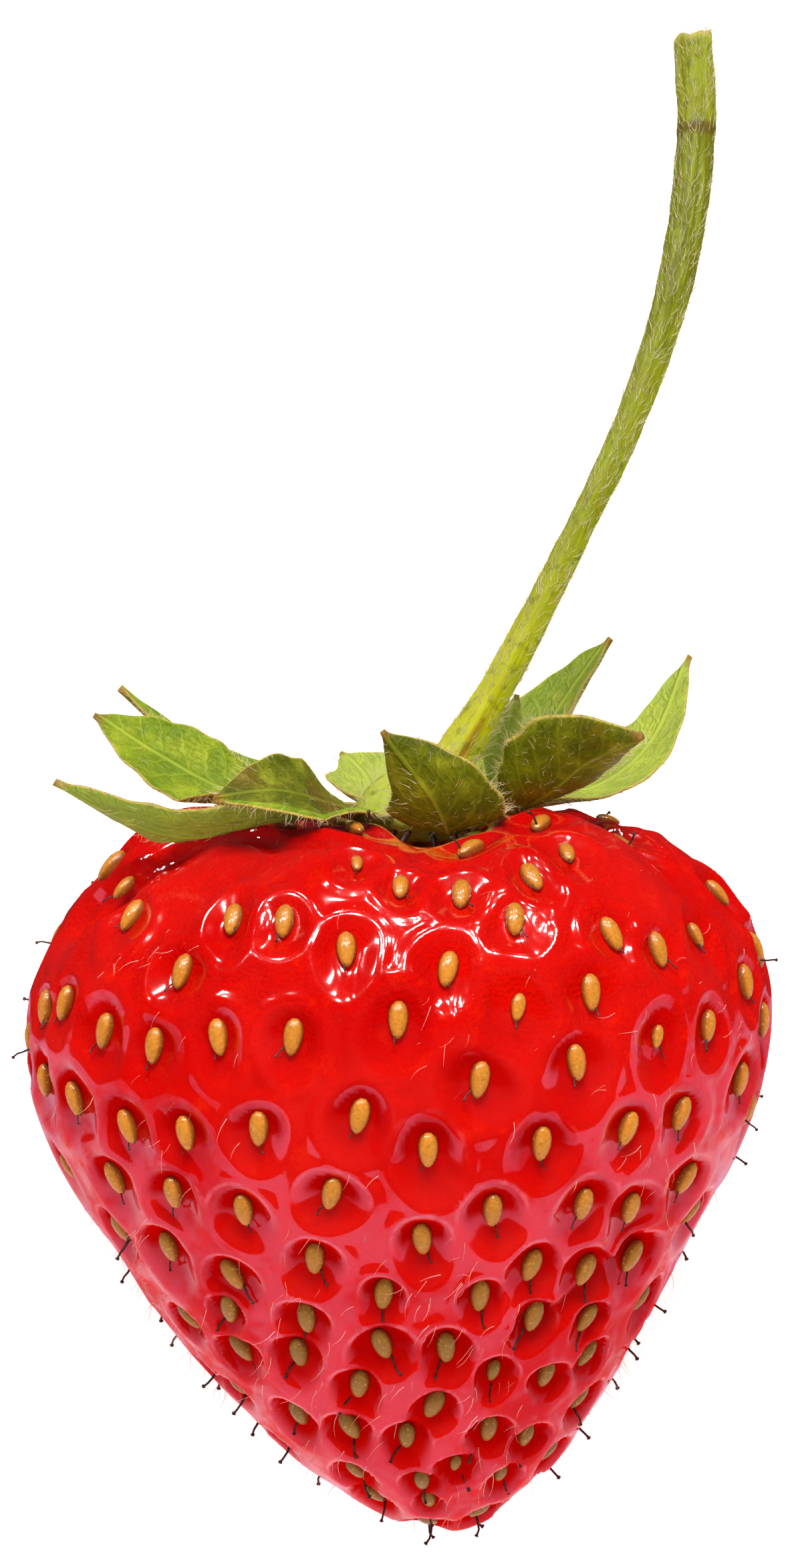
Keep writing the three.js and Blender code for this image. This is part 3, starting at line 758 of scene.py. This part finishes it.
# Sets a copy on every point, with its Z along the point's up and its Y along its toward.
planted, w, entry = new_tree(
    "planted_copies", {"Copy": "Object", "Spin": "Float", "Seed": "Int", "Material": "Material"}
)
upright = w.add(ALIGN, {"axis": "Z"}, {"Vector": named(w, "up", "FLOAT_VECTOR")})
sideways = {"Rotation": upright, "Vector": named(w, "toward", "FLOAT_VECTOR")}
facing = w.add(ALIGN, {"axis": "Y", "pivot_axis": "Z"}, sideways)
most_spin = entry.of("Spin")
spin = chance(w, most_spin * -1.0, most_spin, entry.of("Seed"))
points = w.add("GeometryNodeMeshToPoints", (), {"Mesh": entry})
copy = w.add("GeometryNodeObjectInfo", (), {"Object": entry.of("Copy")}, 4)
end_tree(w, points, copy, spun(w, facing, spin), named(w, "size"), entry.of("Material"))


def plant(name, copy, places, spin, draw, **attributes):
    """One piece with a copy of another at each place; that other one is used up."""
    points = new_piece("points", places, [], None)
    store(points, **attributes)
    finish = copy.data.materials[0]
    piece = grown(name, points, planted, Copy=copy, Spin=spin, Seed=draw, Material=finish)
    bpy.data.objects.remove(copy)
    bpy.data.objects.remove(points)
    return piece


def spread_out(count):
    """Shares between 0 and 1 that fill the range evenly, each far from the one before."""
    return np.modf(np.arange(count) * GOLDEN_SHARE)[0]


achene_finish, w = new_finish("achene_shell")
deep = w.attribute("deep")
along = w.attribute("along")
flecks = w.noise(w.object_place(), 7000, 2)
w.surface(
    Base_Color=w.layered(
        (218, 138, 40),
        (deep, (150, 108, 34)),
        (w.attribute("tone") * 0.4, (188, 116, 40)),
        # Painted shade: on the achenes low on the berry, the upper end is painted darker where the
        # pit's wall overhangs it.
        ((1 - along).rise(0.1, 1.0) * deep * 0.6, (110, 82, 40)),
        (along.rise(0.88, 1.0) * 0.7, (120, 62, 24)),
        # Painted shade: the achene's sides and underside are painted darker.
        (w.attribute("girdle").rise(0.15, 0.9) * 0.8, (110, 50, 16)),
        (flecks.rise(0.5, 0.7) * 0.45, (150, 98, 40)),
        ((1 - flecks).rise(0.55, 0.75) * 0.4, (232, 178, 96)),
    ),
    Roughness=0.38,
    Normal=w.bump(flecks, 0.02 * MM),
    Coat_Weight=0.5,
    Coat_Roughness=0.12,
    Specular_IOR_Level=0.15,
)

turn = full_turn(ACHENE_SIDES)
stations = -np.cos(np.linspace(0.09, 0.94, ACHENE_RINGS) * math.pi)[:, None]
girth = np.sqrt(1 - stations**2) * (1 - ACHENE_POINTING * stations)
seed_rings = 0.5 * MM * np.stack(
    [
        ACHENE_WIDTH * girth * np.cos(turn),
        ACHENE_LENGTH * stations + 0 * turn,
        ACHENE_THICKNESS * girth * np.sin(turn),
    ],
    axis=-1,
)
seed = new_piece("seed", *loft(seed_rings), achene_finish)
# 1 on the half of the achene that faces into its pit, which is painted darker as shade.
girdle = 1 - np.maximum(np.sin(turn), 0)
store(seed, along=on_rings(seed_rings, 0.5 + 0.5 * stations), girdle=on_rings(seed_rings, girdle))

achene_lift = ACHENE_BEDDED - sites["depth"]
achene_places = laid_down(sites["place"] + sites["normal"] * achene_lift[:, None])
achene_places[:, 2] = np.maximum(achene_places[:, 2], 0.5 * ACHENE_THICKNESS * MM)
achene_up = turned_down(sites["normal"])
achene_toward = turned_down(sites["to_tip"])
tones = spread_out(len(achene_places))
stance = dict(up=achene_up, toward=achene_toward, size=sites["size"])
looks = dict(deep=1 - sites["up"], tone=tones)
achenes = plant("achenes", seed, achene_places, spin=0.1, draw=3, **stance, **looks)
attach(achenes, "root")

# ---- The dried styles ----
# From each achene's point a dark, withered thread, all that is left of its flower's style,
# lies down the pit or stands off the skin, with its shrunken knob at the end.

LYING = [(0, 0.8, 0.0), (0.02, 1.0, 0.14), (0.1, 1.4, 0.26), (0.05, 1.8, 0.38)]
STANDING = [(0, 0.6, 0.1), (0.02, 0.75, 0.4), (0.08, 0.85, 0.75), (0.3, 1.0, 0.98)]
STANDING_LOST = 0.25  # the share of them that have dropped off
STYLE_THICKNESS = 0.13
STYLE_SIDES = 5
STYLE_SPIN = 0.5


def smooth_route(places, shares):
    """Points and directions at shares of the length of a smooth curve through some places."""
    places = np.asarray(places, float)
    before, after = 2 * places[0] - places[1], 2 * places[-1] - places[-2]
    padded = np.vstack([before, places, after])
    gaps = np.sqrt(np.linalg.norm(np.diff(padded, axis=0), axis=1))
    t = np.linspace(0, 1, 60, endpoint=False)[:, None]
    spans = []
    for i in range(len(places) - 1):
        a, b, c, d = padded[i : i + 4]
        first, middle, last = gaps[i : i + 3]
        leave = ((b - a) / first - (c - a) / (first + middle) + (c - b) / middle) * middle
        arrive = ((c - b) / middle - (d - b) / (middle + last) + (d - c) / last) * middle
        bend = 3 * (c - b) - 2 * leave - arrive + t * (2 * (b - c) + leave + arrive)
        spans.append(b + t * (leave + t * bend))
    line = np.vstack([*spans, places[-1]])
    lengths = np.append(0, np.cumsum(np.linalg.norm(np.diff(line, axis=0), axis=1)))
    marks = np.asarray(shares) * lengths[-1]
    ways = np.gradient(line, lengths, axis=0)
    at = [np.stack([np.interp(marks, lengths, v[:, k]) for k in range(3)], -1) for v in (line, ways)]
    return at[0], unit(at[1]), lengths[-1]


def carried_frames(ways, first_normal):
    """Normals that turn no more than the route does, and the sides that go with them."""
    normals = []
    normal = np.asarray(first_normal, float)
    for way in ways:
        normal = unit(normal - dot(normal, way) * way)
        normals.append(normal)
    return np.array(normals), np.cross(ways, normals)


def tube(route, radii, sides, first_normal=(0, 0, 1)):
    """Rings of corners round a route; radii is one for each ring, or one for each corner."""
    places, ways, _ = route
    normals, across = carried_frames(ways, first_normal)
    turn = full_turn(sides)[:, None]
    spokes = np.cos(turn) * normals[:, None] + np.sin(turn) * across[:, None]
    radii = np.asarray(radii, float)
    return places[:, None] + spokes * radii.reshape(len(places), -1, 1)


style_finish, w = new_finish("dried_style")
fibre = w.noise(w.object_place(), 6000, 2)
w.surface(
    Base_Color=w.layered((44, 14, 10), (fibre.rise(0.4, 0.75), (92, 40, 24))),
    Roughness=0.6,
    Normal=w.bump(fibre, 0.01 * MM),
)
style_radii = 0.5 * MM * np.array([1.2, 1, 0.85, 0.8, 0.8, 1.2, 1.7, 1.1]) * STYLE_THICKNESS
style_marks = [0, 0.15, 0.4, 0.65, 0.86, 0.91, 0.96, 1]
for name, route, chosen, size in (
    ("dried_styles", LYING, ~sites["limb"], 0.95 - 0.35 * sites["up"]),
    ("raised_styles", STANDING, sites["limb"] & (tones > STANDING_LOST), 1 - 0.1 * sites["up"]),
):
    style_line = smooth_route(np.array(route) * MM, style_marks)
    thread = new_piece("thread", *loft(tube(style_line, style_radii, STYLE_SIDES)), style_finish)
    sizes = (size * (0.88 + 0.25 * tones))[chosen]
    stance = dict(up=achene_up[chosen], toward=achene_toward[chosen], size=sizes)
    styles = plant(name, thread, achene_places[chosen], STYLE_SPIN, draw=8, **stance)
    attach(styles, "root")

# ---- The stem ----
# A curved green stalk, ribbed and downy, with the disc that the calyx grows from at its foot.
# It was picked just past an old scar, and its cut end has begun to dry.

HUB_CENTRE_X = -0.2
HUB_RADIUS = 3.4
STEM_ROUTE = [
    (HUB_CENTRE_X, 0, 10.8), (HUB_CENTRE_X, 0, 12.2), (HUB_CENTRE_X, 0, 13), (1.3, 0.1, 14.8),
    (3.6, 0.3, 18.6), (7, 0.9, 25.2), (9.7, 1.6, 30.9), (11.9, 2.6, 37.5), (13, 4, 44.8),
    (12.9, 4.8, 49.6),
]
STEM_RADII = [  # mm along the route, radius
    (0, 1.6), (0.4, 2.8), (0.7, HUB_RADIUS), (1.9, HUB_RADIUS), (2.3, 1.9), (3.1, 1.25),
    (4.6, 1.02), (8, 0.82), (17, 0.66), (25, 0.76), (32, 0.9), (41, 0.93), (46, 0.85),
]
SCAR_ALONG = 37.5
SPECK = (0.9, 0.2, 0.65)  # in the strand's own measure
STEM_SIDES = 36
STEM_STEPS = 240

stem_shares = np.linspace(0, 1, STEM_STEPS + 1)
stem_route = smooth_route(STEM_ROUTE, stem_shares)
stem_length = stem_route[2]
stem_marks = stem_shares * stem_length
turn = full_turn(STEM_SIDES)
stem_radii = np.interp(stem_marks, *np.transpose(STEM_RADII))
stem_radii = np.convolve(np.pad(stem_radii, 2, "edge"), [0.1, 0.2, 0.4, 0.2, 0.1], "valid")[:, None]
run = stem_marks[:, None]
slim = smooth(run, 2.5, 6)
ribs = 0.045 * np.cos(5 * turn + 0.05 * run) + 0.02 * np.cos(11 * turn + 1)
knots = 0.02 * np.sin(1.3 * run + 2 * np.cos(turn)) + 0.015 * np.sin(3.1 * run + 3 * np.sin(turn))
scar = np.exp(-(((run - SCAR_ALONG - 0.12 * np.cos(turn)) / 0.22) ** 2))
stem_radii = stem_radii * (1 + slim * (ribs + knots)) + 0.04 * scar
stem_rings = tube(stem_route, stem_radii, STEM_SIDES, (0, -1, 0))
cut = smooth(run, stem_length - 0.5, stem_length)[..., None]
ragged = (0.45 * np.exp(-3 * (1 - np.cos(turn - 1.9))) + 0.1 * np.sin(5 * turn))[None, :, None]
stem_rings = stem_rings + cut * ragged * stem_route[1][:, None]

stem_finish, w = new_finish("stem_rind")
mark = w.attribute("along_stem")
strand = w.attribute("strand", "Vector")
streak = w.noise(strand, 3.2, 4, 0.6)
fine = w.noise(w.object_place(), 2200, 3)
off_scar = (mark - SCAR_ALONG).math("ABSOLUTE")
green = w.layered(
    (186, 198, 70),
    (mark.rise(1.8, 3.5), (196, 194, 4)),
    (mark.rise(6, 18), (136, 140, 8)),
    (mark.rise(24, 30), (110, 112, 4)),
    (mark.rise(SCAR_ALONG, SCAR_ALONG + 1), (136, 138, 12)),
    ((1 - w.vector("DISTANCE", strand, SPECK, 1).rise(0.1, 0.3)) * 0.8, (168, 92, 24)),
    (streak.rise(0.42, 0.62) * 0.45, (158, 172, 24)),
    (streak.rise(0.62, 0.8) * 0.35, (204, 206, 84)),
    (fine.rise(0.52, 0.72) * 0.5, (78, 84, 8)),
    ((1 - off_scar.rise(0.1, 0.45)) * 0.65, (98, 66, 26)),
    (mark.rise(stem_length - 0.4, stem_length) * 0.6, (206, 190, 100)),
)
stem_rind = w.bump(streak, 0.12 * MM, w.bump(fine, 0.03 * MM))
w.surface(
    Base_Color=green,
    Roughness=0.5,
    Specular_IOR_Level=0.2,
    Normal=stem_rind,
    Subsurface_Weight=0.15,
    Subsurface_Radius=(0.5, 0.8, 0.15),
    Subsurface_Scale=0.5 * MM,
)
stem = new_piece("stem_stalk", *loft(laid_down(stem_rings)), stem_finish)
store(
    stem,
    along_stem=on_rings(stem_rings, run),
    strand=on_rings(stem_rings, np.cos(turn), np.sin(turn), 0.12 * run),
    sweep=np.repeat(turned_down(stem_route[1]), STEM_SIDES, axis=0),
    down=on_rings(stem_rings, 0.25 + 0.75 * smooth(run, 2.5, 5)),
)
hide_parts("stem")
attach(stem, "root")

# ---- The calyx ----
# Six broad sepals and four narrow bractlets, thin green leaves that curl up off the fruit:
# olive and veined outside, pale green inside, with tan margins and dried points. The two
# faces differ partly by their own colour and partly by painted shade and painted light.

LEAF_THICKNESS = 0.6  # the solids' own; the real blades are thinner
RIB_THICKNESS = 0.42
MARGIN_THICKNESS = 0.1
LEAF_GAP = 0.55  # between the disc and the foot of a leaf's rib
SKIN_GAP = 0.4  # between the skin and a leaf that lies along it
LEAF_OUTLINE = [0.34, 0.52, 0.78, 0.94, 1, 0.98, 0.88, 0.72, 0.51, 0.29, 0.05]
LEAF_BELLY = 0.4  # where the outline is broadest
LEAF_STEPS = 56
LEAF_LANES = 25
FOOT_REACH = 1.7  # how far a leaf's foot runs on into the disc
# Leaves whose inner face is painted olive as painted shade, all but a lit strip along one margin.
SHADED_INSIDE = ["sepal_6"]
# How pale a leaf is painted: painted light on the leaves that catch the sun.
SUNLIT = {"sepal_3": 0.25, "sepal_4": 0.85, "bractlet_1": 0.6, "bractlet_2": 0.7, "bractlet_4": 0.8}
LEAVES = {  # heading and height at the disc, width, cup, twist, belly, spread
    "sepal_1": (284, 11.7, 5.6, 14, 0, 0.4, 0.9),
    "sepal_2": (324, 11.9, 6.4, 25, -15, 0.55, 0),
    "sepal_3": (60, 12.3, 4.8, 30, 0, 0.4, 0),
    "sepal_4": (122, 12.3, 4.8, 20, 0, 0.5, 0),
    "sepal_5": (172, 12.4, 4.5, 15, -48, 0.58, 0),
    "sepal_6": (236, 11.8, 4.5, 15, -48, 0.5, 0.2),
    "bractlet_1": (352, 12.45, 3.8, 15, 40, 0.4, 0),
    "bractlet_2": (26, 12.2, 2.8, 15, 0, 0.5, 0),
    "bractlet_3": (150, 11.8, 2.8, 15, 0, 0.4, 0),
    "bractlet_4": (205, 11.6, 3.4, 10, 35, 0.5, 0),
}
RIBS = {  # the places that each leaf's rib runs on through to its tip
    "sepal_1": [(0.9, -6.4, 11.5), (0.2, -8.2, 12.95), (-2.1, -8.8, 15.9)],
    "sepal_2": [(5.3, -5, 13.1), (7.4, -7, 14.75), (9.7, -8.4, 15.7)],
    "sepal_3": [(4.5, 6.8, 14), (6.6, 8.6, 17.2), (9.1, 9.6, 20.7)],
    "sepal_4": [(-2.6, 6, 12.9), (-3.1, 7.6, 13.9), (-4.2, 8.6, 15)],
    "sepal_5": [(-9, 1.2, 12.9), (-12.9, 1.6, 14.85), (-15.9, 1.8, 16.8)],
    "sepal_6": [(-4.6, -6.4, 12.5), (-7, -8.6, 13.1), (-9.7, -9.8, 12.8)],
    "bractlet_1": [(8.2, -0.3, 13.4), (10.6, 0.2, 15.4), (12.5, 1.6, 19.6)],
    "bractlet_2": [(4, 2.4, 13.3), (3.9, 3, 15.5), (4.3, 3.2, 17.8)],
    "bractlet_3": [(-8, 4.9, 13.8), (-12, 6.2, 15.7), (-15, 6.8, 18.2)],
    "bractlet_4": [(-6.8, -6.2, 11.7), (-11.6, -7.8, 11.3), (-17.1, -6.8, 13.6)],
}

leaf_finish, w = new_finish("calyx_blade")
blade = w.attribute("blade", "Vector")
parts = w.add("ShaderNodeSeparateXYZ", (), {"Vector": blade})
from_rib, along_rib, inner = parts.math("ABSOLUTE"), parts.of("Y"), parts.of("Z")
edge = w.attribute("edge")
share = w.attribute("share")
place = w.object_place()
wander = w.noise(blade, 1.1, 2)
row = ((along_rib - from_rib * 0.9) * 0.8 + wander * 0.9).math("FRACT")
side_vein = 1 - (row - 0.5).math("ABSOLUTE").rise(0.02, 0.16)
mid_vein = 1 - from_rib.rise(0.05, 0.2)
net_cells = w.add(
    "ShaderNodeTexVoronoi", {"feature": "DISTANCE_TO_EDGE"}, {"Vector": blade, "Scale": 2.4}
)
net = 1 - net_cells.rise(0.02, 0.14)
streaks = w.noise(w.vector("MULTIPLY", blade, (7, 1.2, 1)), 1.0, 3, 0.6).rise(0.5, 0.7)
veins = mid_vein.math("MAXIMUM", side_vein * 0.5).math("MAXIMUM", net * 0.2 + streaks * 0.7)
patches = w.noise(place, 700, 3, 0.6)
# Painted light: the leaves that catch the sun are painted paler.
young = w.attribute("young")
patchy = patches.rise(0.35, 0.7)
# Partly the leaf's own colour, partly painted light: the outer faces are painted darker as shade, the
# inner faces paler as light.
outside = w.layered(
    (82, 90, 2),
    (patchy, (126, 128, 8)),
    (w.noise(place, 260, 2).rise(0.5, 0.72) * 0.5, (124, 60, 8)),
    (young, (150, 168, 60)),
    (veins * 0.3, (164, 176, 44)),
)
inside_face = w.layered(
    (112, 140, 6),
    (patchy, (154, 170, 24)),
    (young, (182, 196, 84)),
    (veins * 0.45, (186, 204, 66)),
)
w.surface(
    Base_Color=w.layered(
        w.mix(inner, outside, inside_face),
        (patches.rise(0.55, 0.8) * 0.4, (192, 204, 60)),
        ((1 - share).rise(0.72, 1.0) * 0.6, (172, 188, 44)),
        (edge.rise(0.95, 0.99) * 0.75, (216, 184, 96)),
        (share.rise(0.93, 1.0) * 0.7, (150, 92, 44)),
    ),
    Roughness=0.55,
    Specular_IOR_Level=0.15,
    Normal=w.bump(veins, 0.1 * MM, w.bump(patches, 0.06 * MM)),
    Subsurface_Weight=0.3,
    Subsurface_Radius=(0.5, 0.9, 0.15),
    Subsurface_Scale=0.4 * MM,
)

# A closed strip of corners round each cut across the leaf: the inner face, then the outer.
lanes = np.linspace(-1, 1, LEAF_LANES)
round_strip = np.concatenate([lanes, lanes[::-1]])
is_inner = np.concatenate([np.ones(LEAF_LANES), np.zeros(LEAF_LANES)])
grown_leaves = []
for name, (toward, rise, width, cup, twist, belly, spread) in LEAVES.items():
    out = np.array([math.cos(math.radians(toward)), math.sin(math.radians(toward)), 0])
    foot = np.array([HUB_CENTRE_X, 0, rise]) + out * (HUB_RADIUS + LEAF_GAP)
    shares = np.linspace(0, 1, LEAF_STEPS + 1)
    places, ways, leaf_length = smooth_route([foot, *RIBS[name]], shares)
    normals, _ = carried_frames(ways, (0, 0, 1))
    turned_by = math.radians(twist) * np.minimum(1, 2 * shares)[:, None]
    normals = normals * np.cos(turned_by) + np.cross(ways, normals) * np.sin(turned_by)
    sides = np.cross(ways, normals)
    outline = through(LEAF_OUTLINE, shares ** (math.log(LEAF_BELLY) / math.log(belly)))
    early = spread * smooth(shares, 0, 0.2) * (1 - smooth(shares, 0.3, 0.5))
    half_width = 0.5 * width * (outline + early * (1 - outline))
    inward = np.array([1, 0.66, 0.33])[:, None] * FOOT_REACH
    places = np.concatenate([foot - out * inward, places])
    normals, sides, ways = (np.concatenate([v[[0, 0, 0]], v]) for v in (normals, sides, ways))
    half_width = np.concatenate([half_width[[0, 0, 0]] * 0.9, half_width])[:, None]
    shares = np.concatenate([[0, 0, 0], shares])[:, None]

    edging = np.abs(round_strip)
    half_thick = 0.5 * (MARGIN_THICKNESS + (RIB_THICKNESS - MARGIN_THICKNESS) * (1 - edging**2))
    keel = 0.14 * np.exp(-((edging * half_width / 0.22) ** 2)) * (1 - shares)
    lift = np.where(is_inner > 0, half_thick - 0.5 * keel, -half_thick - keel)
    fold = math.radians(cup) * round_strip
    waves = 0.05 * edging**3 * np.sin(2.1 * shares * leaf_length + toward + 2 * round_strip)
    reach = half_width * (1 + 0.03 * np.sin(7 * shares * leaf_length * 0.5 + toward))
    stand = edging * reach * np.sin(np.abs(fold)) + lift * np.cos(fold) + waves
    aside = round_strip * reach * np.cos(fold) - lift * np.sin(fold)
    rings = places[:, None] + stand[..., None] * normals[:, None] + aside[..., None] * sides[:, None]
    under_polar, under_heading, height = bearings(0.5 * (rings + rings[:, ::-1]))
    short = np.maximum(0, SKIN_GAP + 0.5 * LEAF_THICKNESS - height)
    rings = rings + short[..., None] * skin_normal(under_polar, under_heading)

    leaf = new_piece(name + "_blade", *loft(laid_down(rings)), leaf_finish)
    # Where a leaf's pale colour goes: its inner face, or on a shaded leaf a painted-light strip along
    # one margin on both faces.
    pale = round_strip < -0.62 if name in SHADED_INSIDE else is_inner
    outward = round_strip[:, None] * sides[:, None] + 0.7 * ways[:, None]
    store(
        leaf,
        blade=on_rings(rings, round_strip * reach, shares * leaf_length, pale),
        edge=on_rings(rings, edging),
        young=on_rings(rings, SUNLIT.get(name, 0)),
        share=on_rings(rings, shares),
        sweep=turned_down(unit(outward)).reshape(-1, 3),
        down=on_rings(rings, smooth(edging, 0.93, 1) + 0.1 - 0.06 * is_inner),
    )
    leaf.visible_glossy = False  # the wet skin under it stays a clear red
    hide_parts(name)
    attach(leaf, "root")
    grown_leaves.append(leaf)

# ---- The withered stamens ----
# Round the foot of the calyx hang the flower's dried stamens: brown threads, each with a dark,
# shrivelled head.

STAMEN_COUNT = 22
STAMEN_SIDES = 8
STAMEN_RING = HUB_RADIUS - 0.15
STAMEN_RISE = 11.35
stamen_marks = [0, 0.35, 0.6, 0.7, 0.82, 0.94, 1]
stamen_line = smooth_route(np.array([(0, 0, -0.3), (0, 0.6, 0.2), (0, 1.1, 0.9)]) * MM, stamen_marks)
stamen_radii = np.array([0.12, 0.1, 0.12, 0.28, 0.36, 0.28, 0.1]) * MM
lobed = 1 + 0.25 * np.cos(3 * full_turn(STAMEN_SIDES))
stamen_rings = tube(stamen_line, stamen_radii[:, None] * lobed, STAMEN_SIDES)
one_stamen = new_piece("stamen", *loft(stamen_rings), style_finish)
round_foot = full_turn(STAMEN_COUNT) + 0.1 * np.sin(5 * np.arange(STAMEN_COUNT))
spokes = np.stack([np.cos(round_foot), np.sin(round_foot), 0 * round_foot], -1)
feet = laid_down(spokes * STAMEN_RING + (HUB_CENTRE_X, 0, STAMEN_RISE))
tipward = np.tile(turned_down([0, 0, -1]), (STAMEN_COUNT, 1))
stance = dict(up=turned_down(spokes), toward=tipward, size=1 + 0.4 * spread_out(STAMEN_COUNT))
stamens = plant("stamens", one_stamen, feet, spin=0.6, draw=4, **stance)
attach(stamens, "root")

# ---- The down ----
# Fine pale hairs: a close coat on the stem, a fringe round each leaf, and a few long wisps
# that lie on the berry's skin between its pits.

hair_sizes = dict.fromkeys(["Density", "Length", "Thickness", "Lean", "Stray"], "Float")
downy, w, entry = new_tree("downy_coat", {**hair_sizes, "Seed": "Int", "Material": "Material"})
seed_number = entry.of("Seed")
roots = w.add(
    "GeometryNodeDistributePointsOnFaces",
    (),
    {"Mesh": entry, "Density": entry.of("Density") * named(w, "down"), "Seed": seed_number},
)
lean = entry.of("Lean")
upward = w.vector("SCALE", roots.of("Normal"), 1 - lean)
swept_over = w.vector("SCALE", named(w, "sweep", "FLOAT_VECTOR"), lean)
any_way = w.add(
    "FunctionNodeRandomValue",
    {"data_type": "FLOAT_VECTOR"},
    {0: (-1, -1, -1), 1: (1, 1, 1), "Seed": seed_number},
)
strayed = w.vector("SCALE", any_way, entry.of("Stray"))
way = w.vector("ADD", w.vector("ADD", upward, swept_over), strayed)
aligned = w.add(ALIGN, {"axis": "Z"}, {"Vector": way})
hair_line = w.add(
    "GeometryNodeCurveQuadraticBezier",
    (),
    {"Resolution": 3, "Start": (0, 0, 0), "Middle": (0.22, 0, 0.5), "End": (0, 0, 1)},
)
half_thickness = (entry.of("Thickness") * 0.5).math("DIVIDE", entry.of("Length"))
section = w.add("GeometryNodeCurvePrimitiveCircle", (), {"Resolution": 3, "Radius": half_thickness})
taper = 1 - w.add("GeometryNodeSplineParameter") * 0.85
hair = w.add(
    "GeometryNodeCurveToMesh",
    (),
    {"Curve": hair_line, "Profile Curve": section, "Scale": taper, "Fill Caps": True},
)
any_turn = spun(w, aligned, chance(w, 0.0, 2 * math.pi, seed_number))
length = chance(w, 0.45, 1.0, seed_number + 7) * entry.of("Length")
end_tree(w, roots, hair, any_turn, length, entry.of("Material"))

down_finish, w = new_finish("pale_down")
silk = w.noise(w.object_place(), 800, 2)
w.surface(
    Base_Color=w.layered((236, 226, 186), (silk, (224, 196, 140))),
    Roughness=0.45,
    Subsurface_Weight=0.2,
    Subsurface_Scale=0.2 * MM,
)
PER_MM2 = 1e6
wisp_finish, w = new_finish("skin_wisps")
silk = w.noise(w.object_place(), 500, 2)
w.surface(
    Base_Color=w.layered((255, 214, 200), (silk.rise(0.35, 0.65), (246, 150, 120))),
    Roughness=0.4,
)

stem_down = grown(
    "stem_down", stem, downy,
    Density=14 * PER_MM2, Length=0.8 * MM, Thickness=0.04 * MM, Lean=0.7, Stray=0.35, Seed=11,
    Material=down_finish,
)
fringes = [
    grown(
        "fringe", leaf, downy,
        Density=26 * PER_MM2, Length=0.8 * MM, Thickness=0.036 * MM, Lean=0.72, Stray=0.35,
        Seed=20 + number, Material=down_finish,
    )
    for number, leaf in enumerate(grown_leaves)
]
x, y, z = bare.T
tufts = np.sin(x * 0.9 + 1.3 * np.sin(z * 0.5)) + np.cos(z * 0.8 + y)
combed = np.cross(bare_normals, (0.3, 0.2, 1)) * 0.5 + (0, 0, -0.7)
store(
    flesh,
    down=(1 - inside) * (1 - near_flat(bare)) * (0.15 + smooth(tufts, 0.5, 1.4)),
    sweep=turned_down(unit(combed)),
)
wisps = grown(
    "skin_wisps", flesh, downy,
    Density=1.1 * PER_MM2, Length=1.2 * MM, Thickness=0.036 * MM, Lean=0.9, Stray=0.55, Seed=5,
    Material=wisp_finish,
)
with bpy.context.temp_override(active_object=fringes[0], selected_editable_objects=fringes):
    bpy.ops.object.join()
calyx_down = fringes[0]
calyx_down.name = calyx_down.data.name = "calyx_down"
for piece, slot in ((stem_down, "stalk"), (calyx_down, "leaf"), (wisps, "flesh")):
    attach(piece, "root")
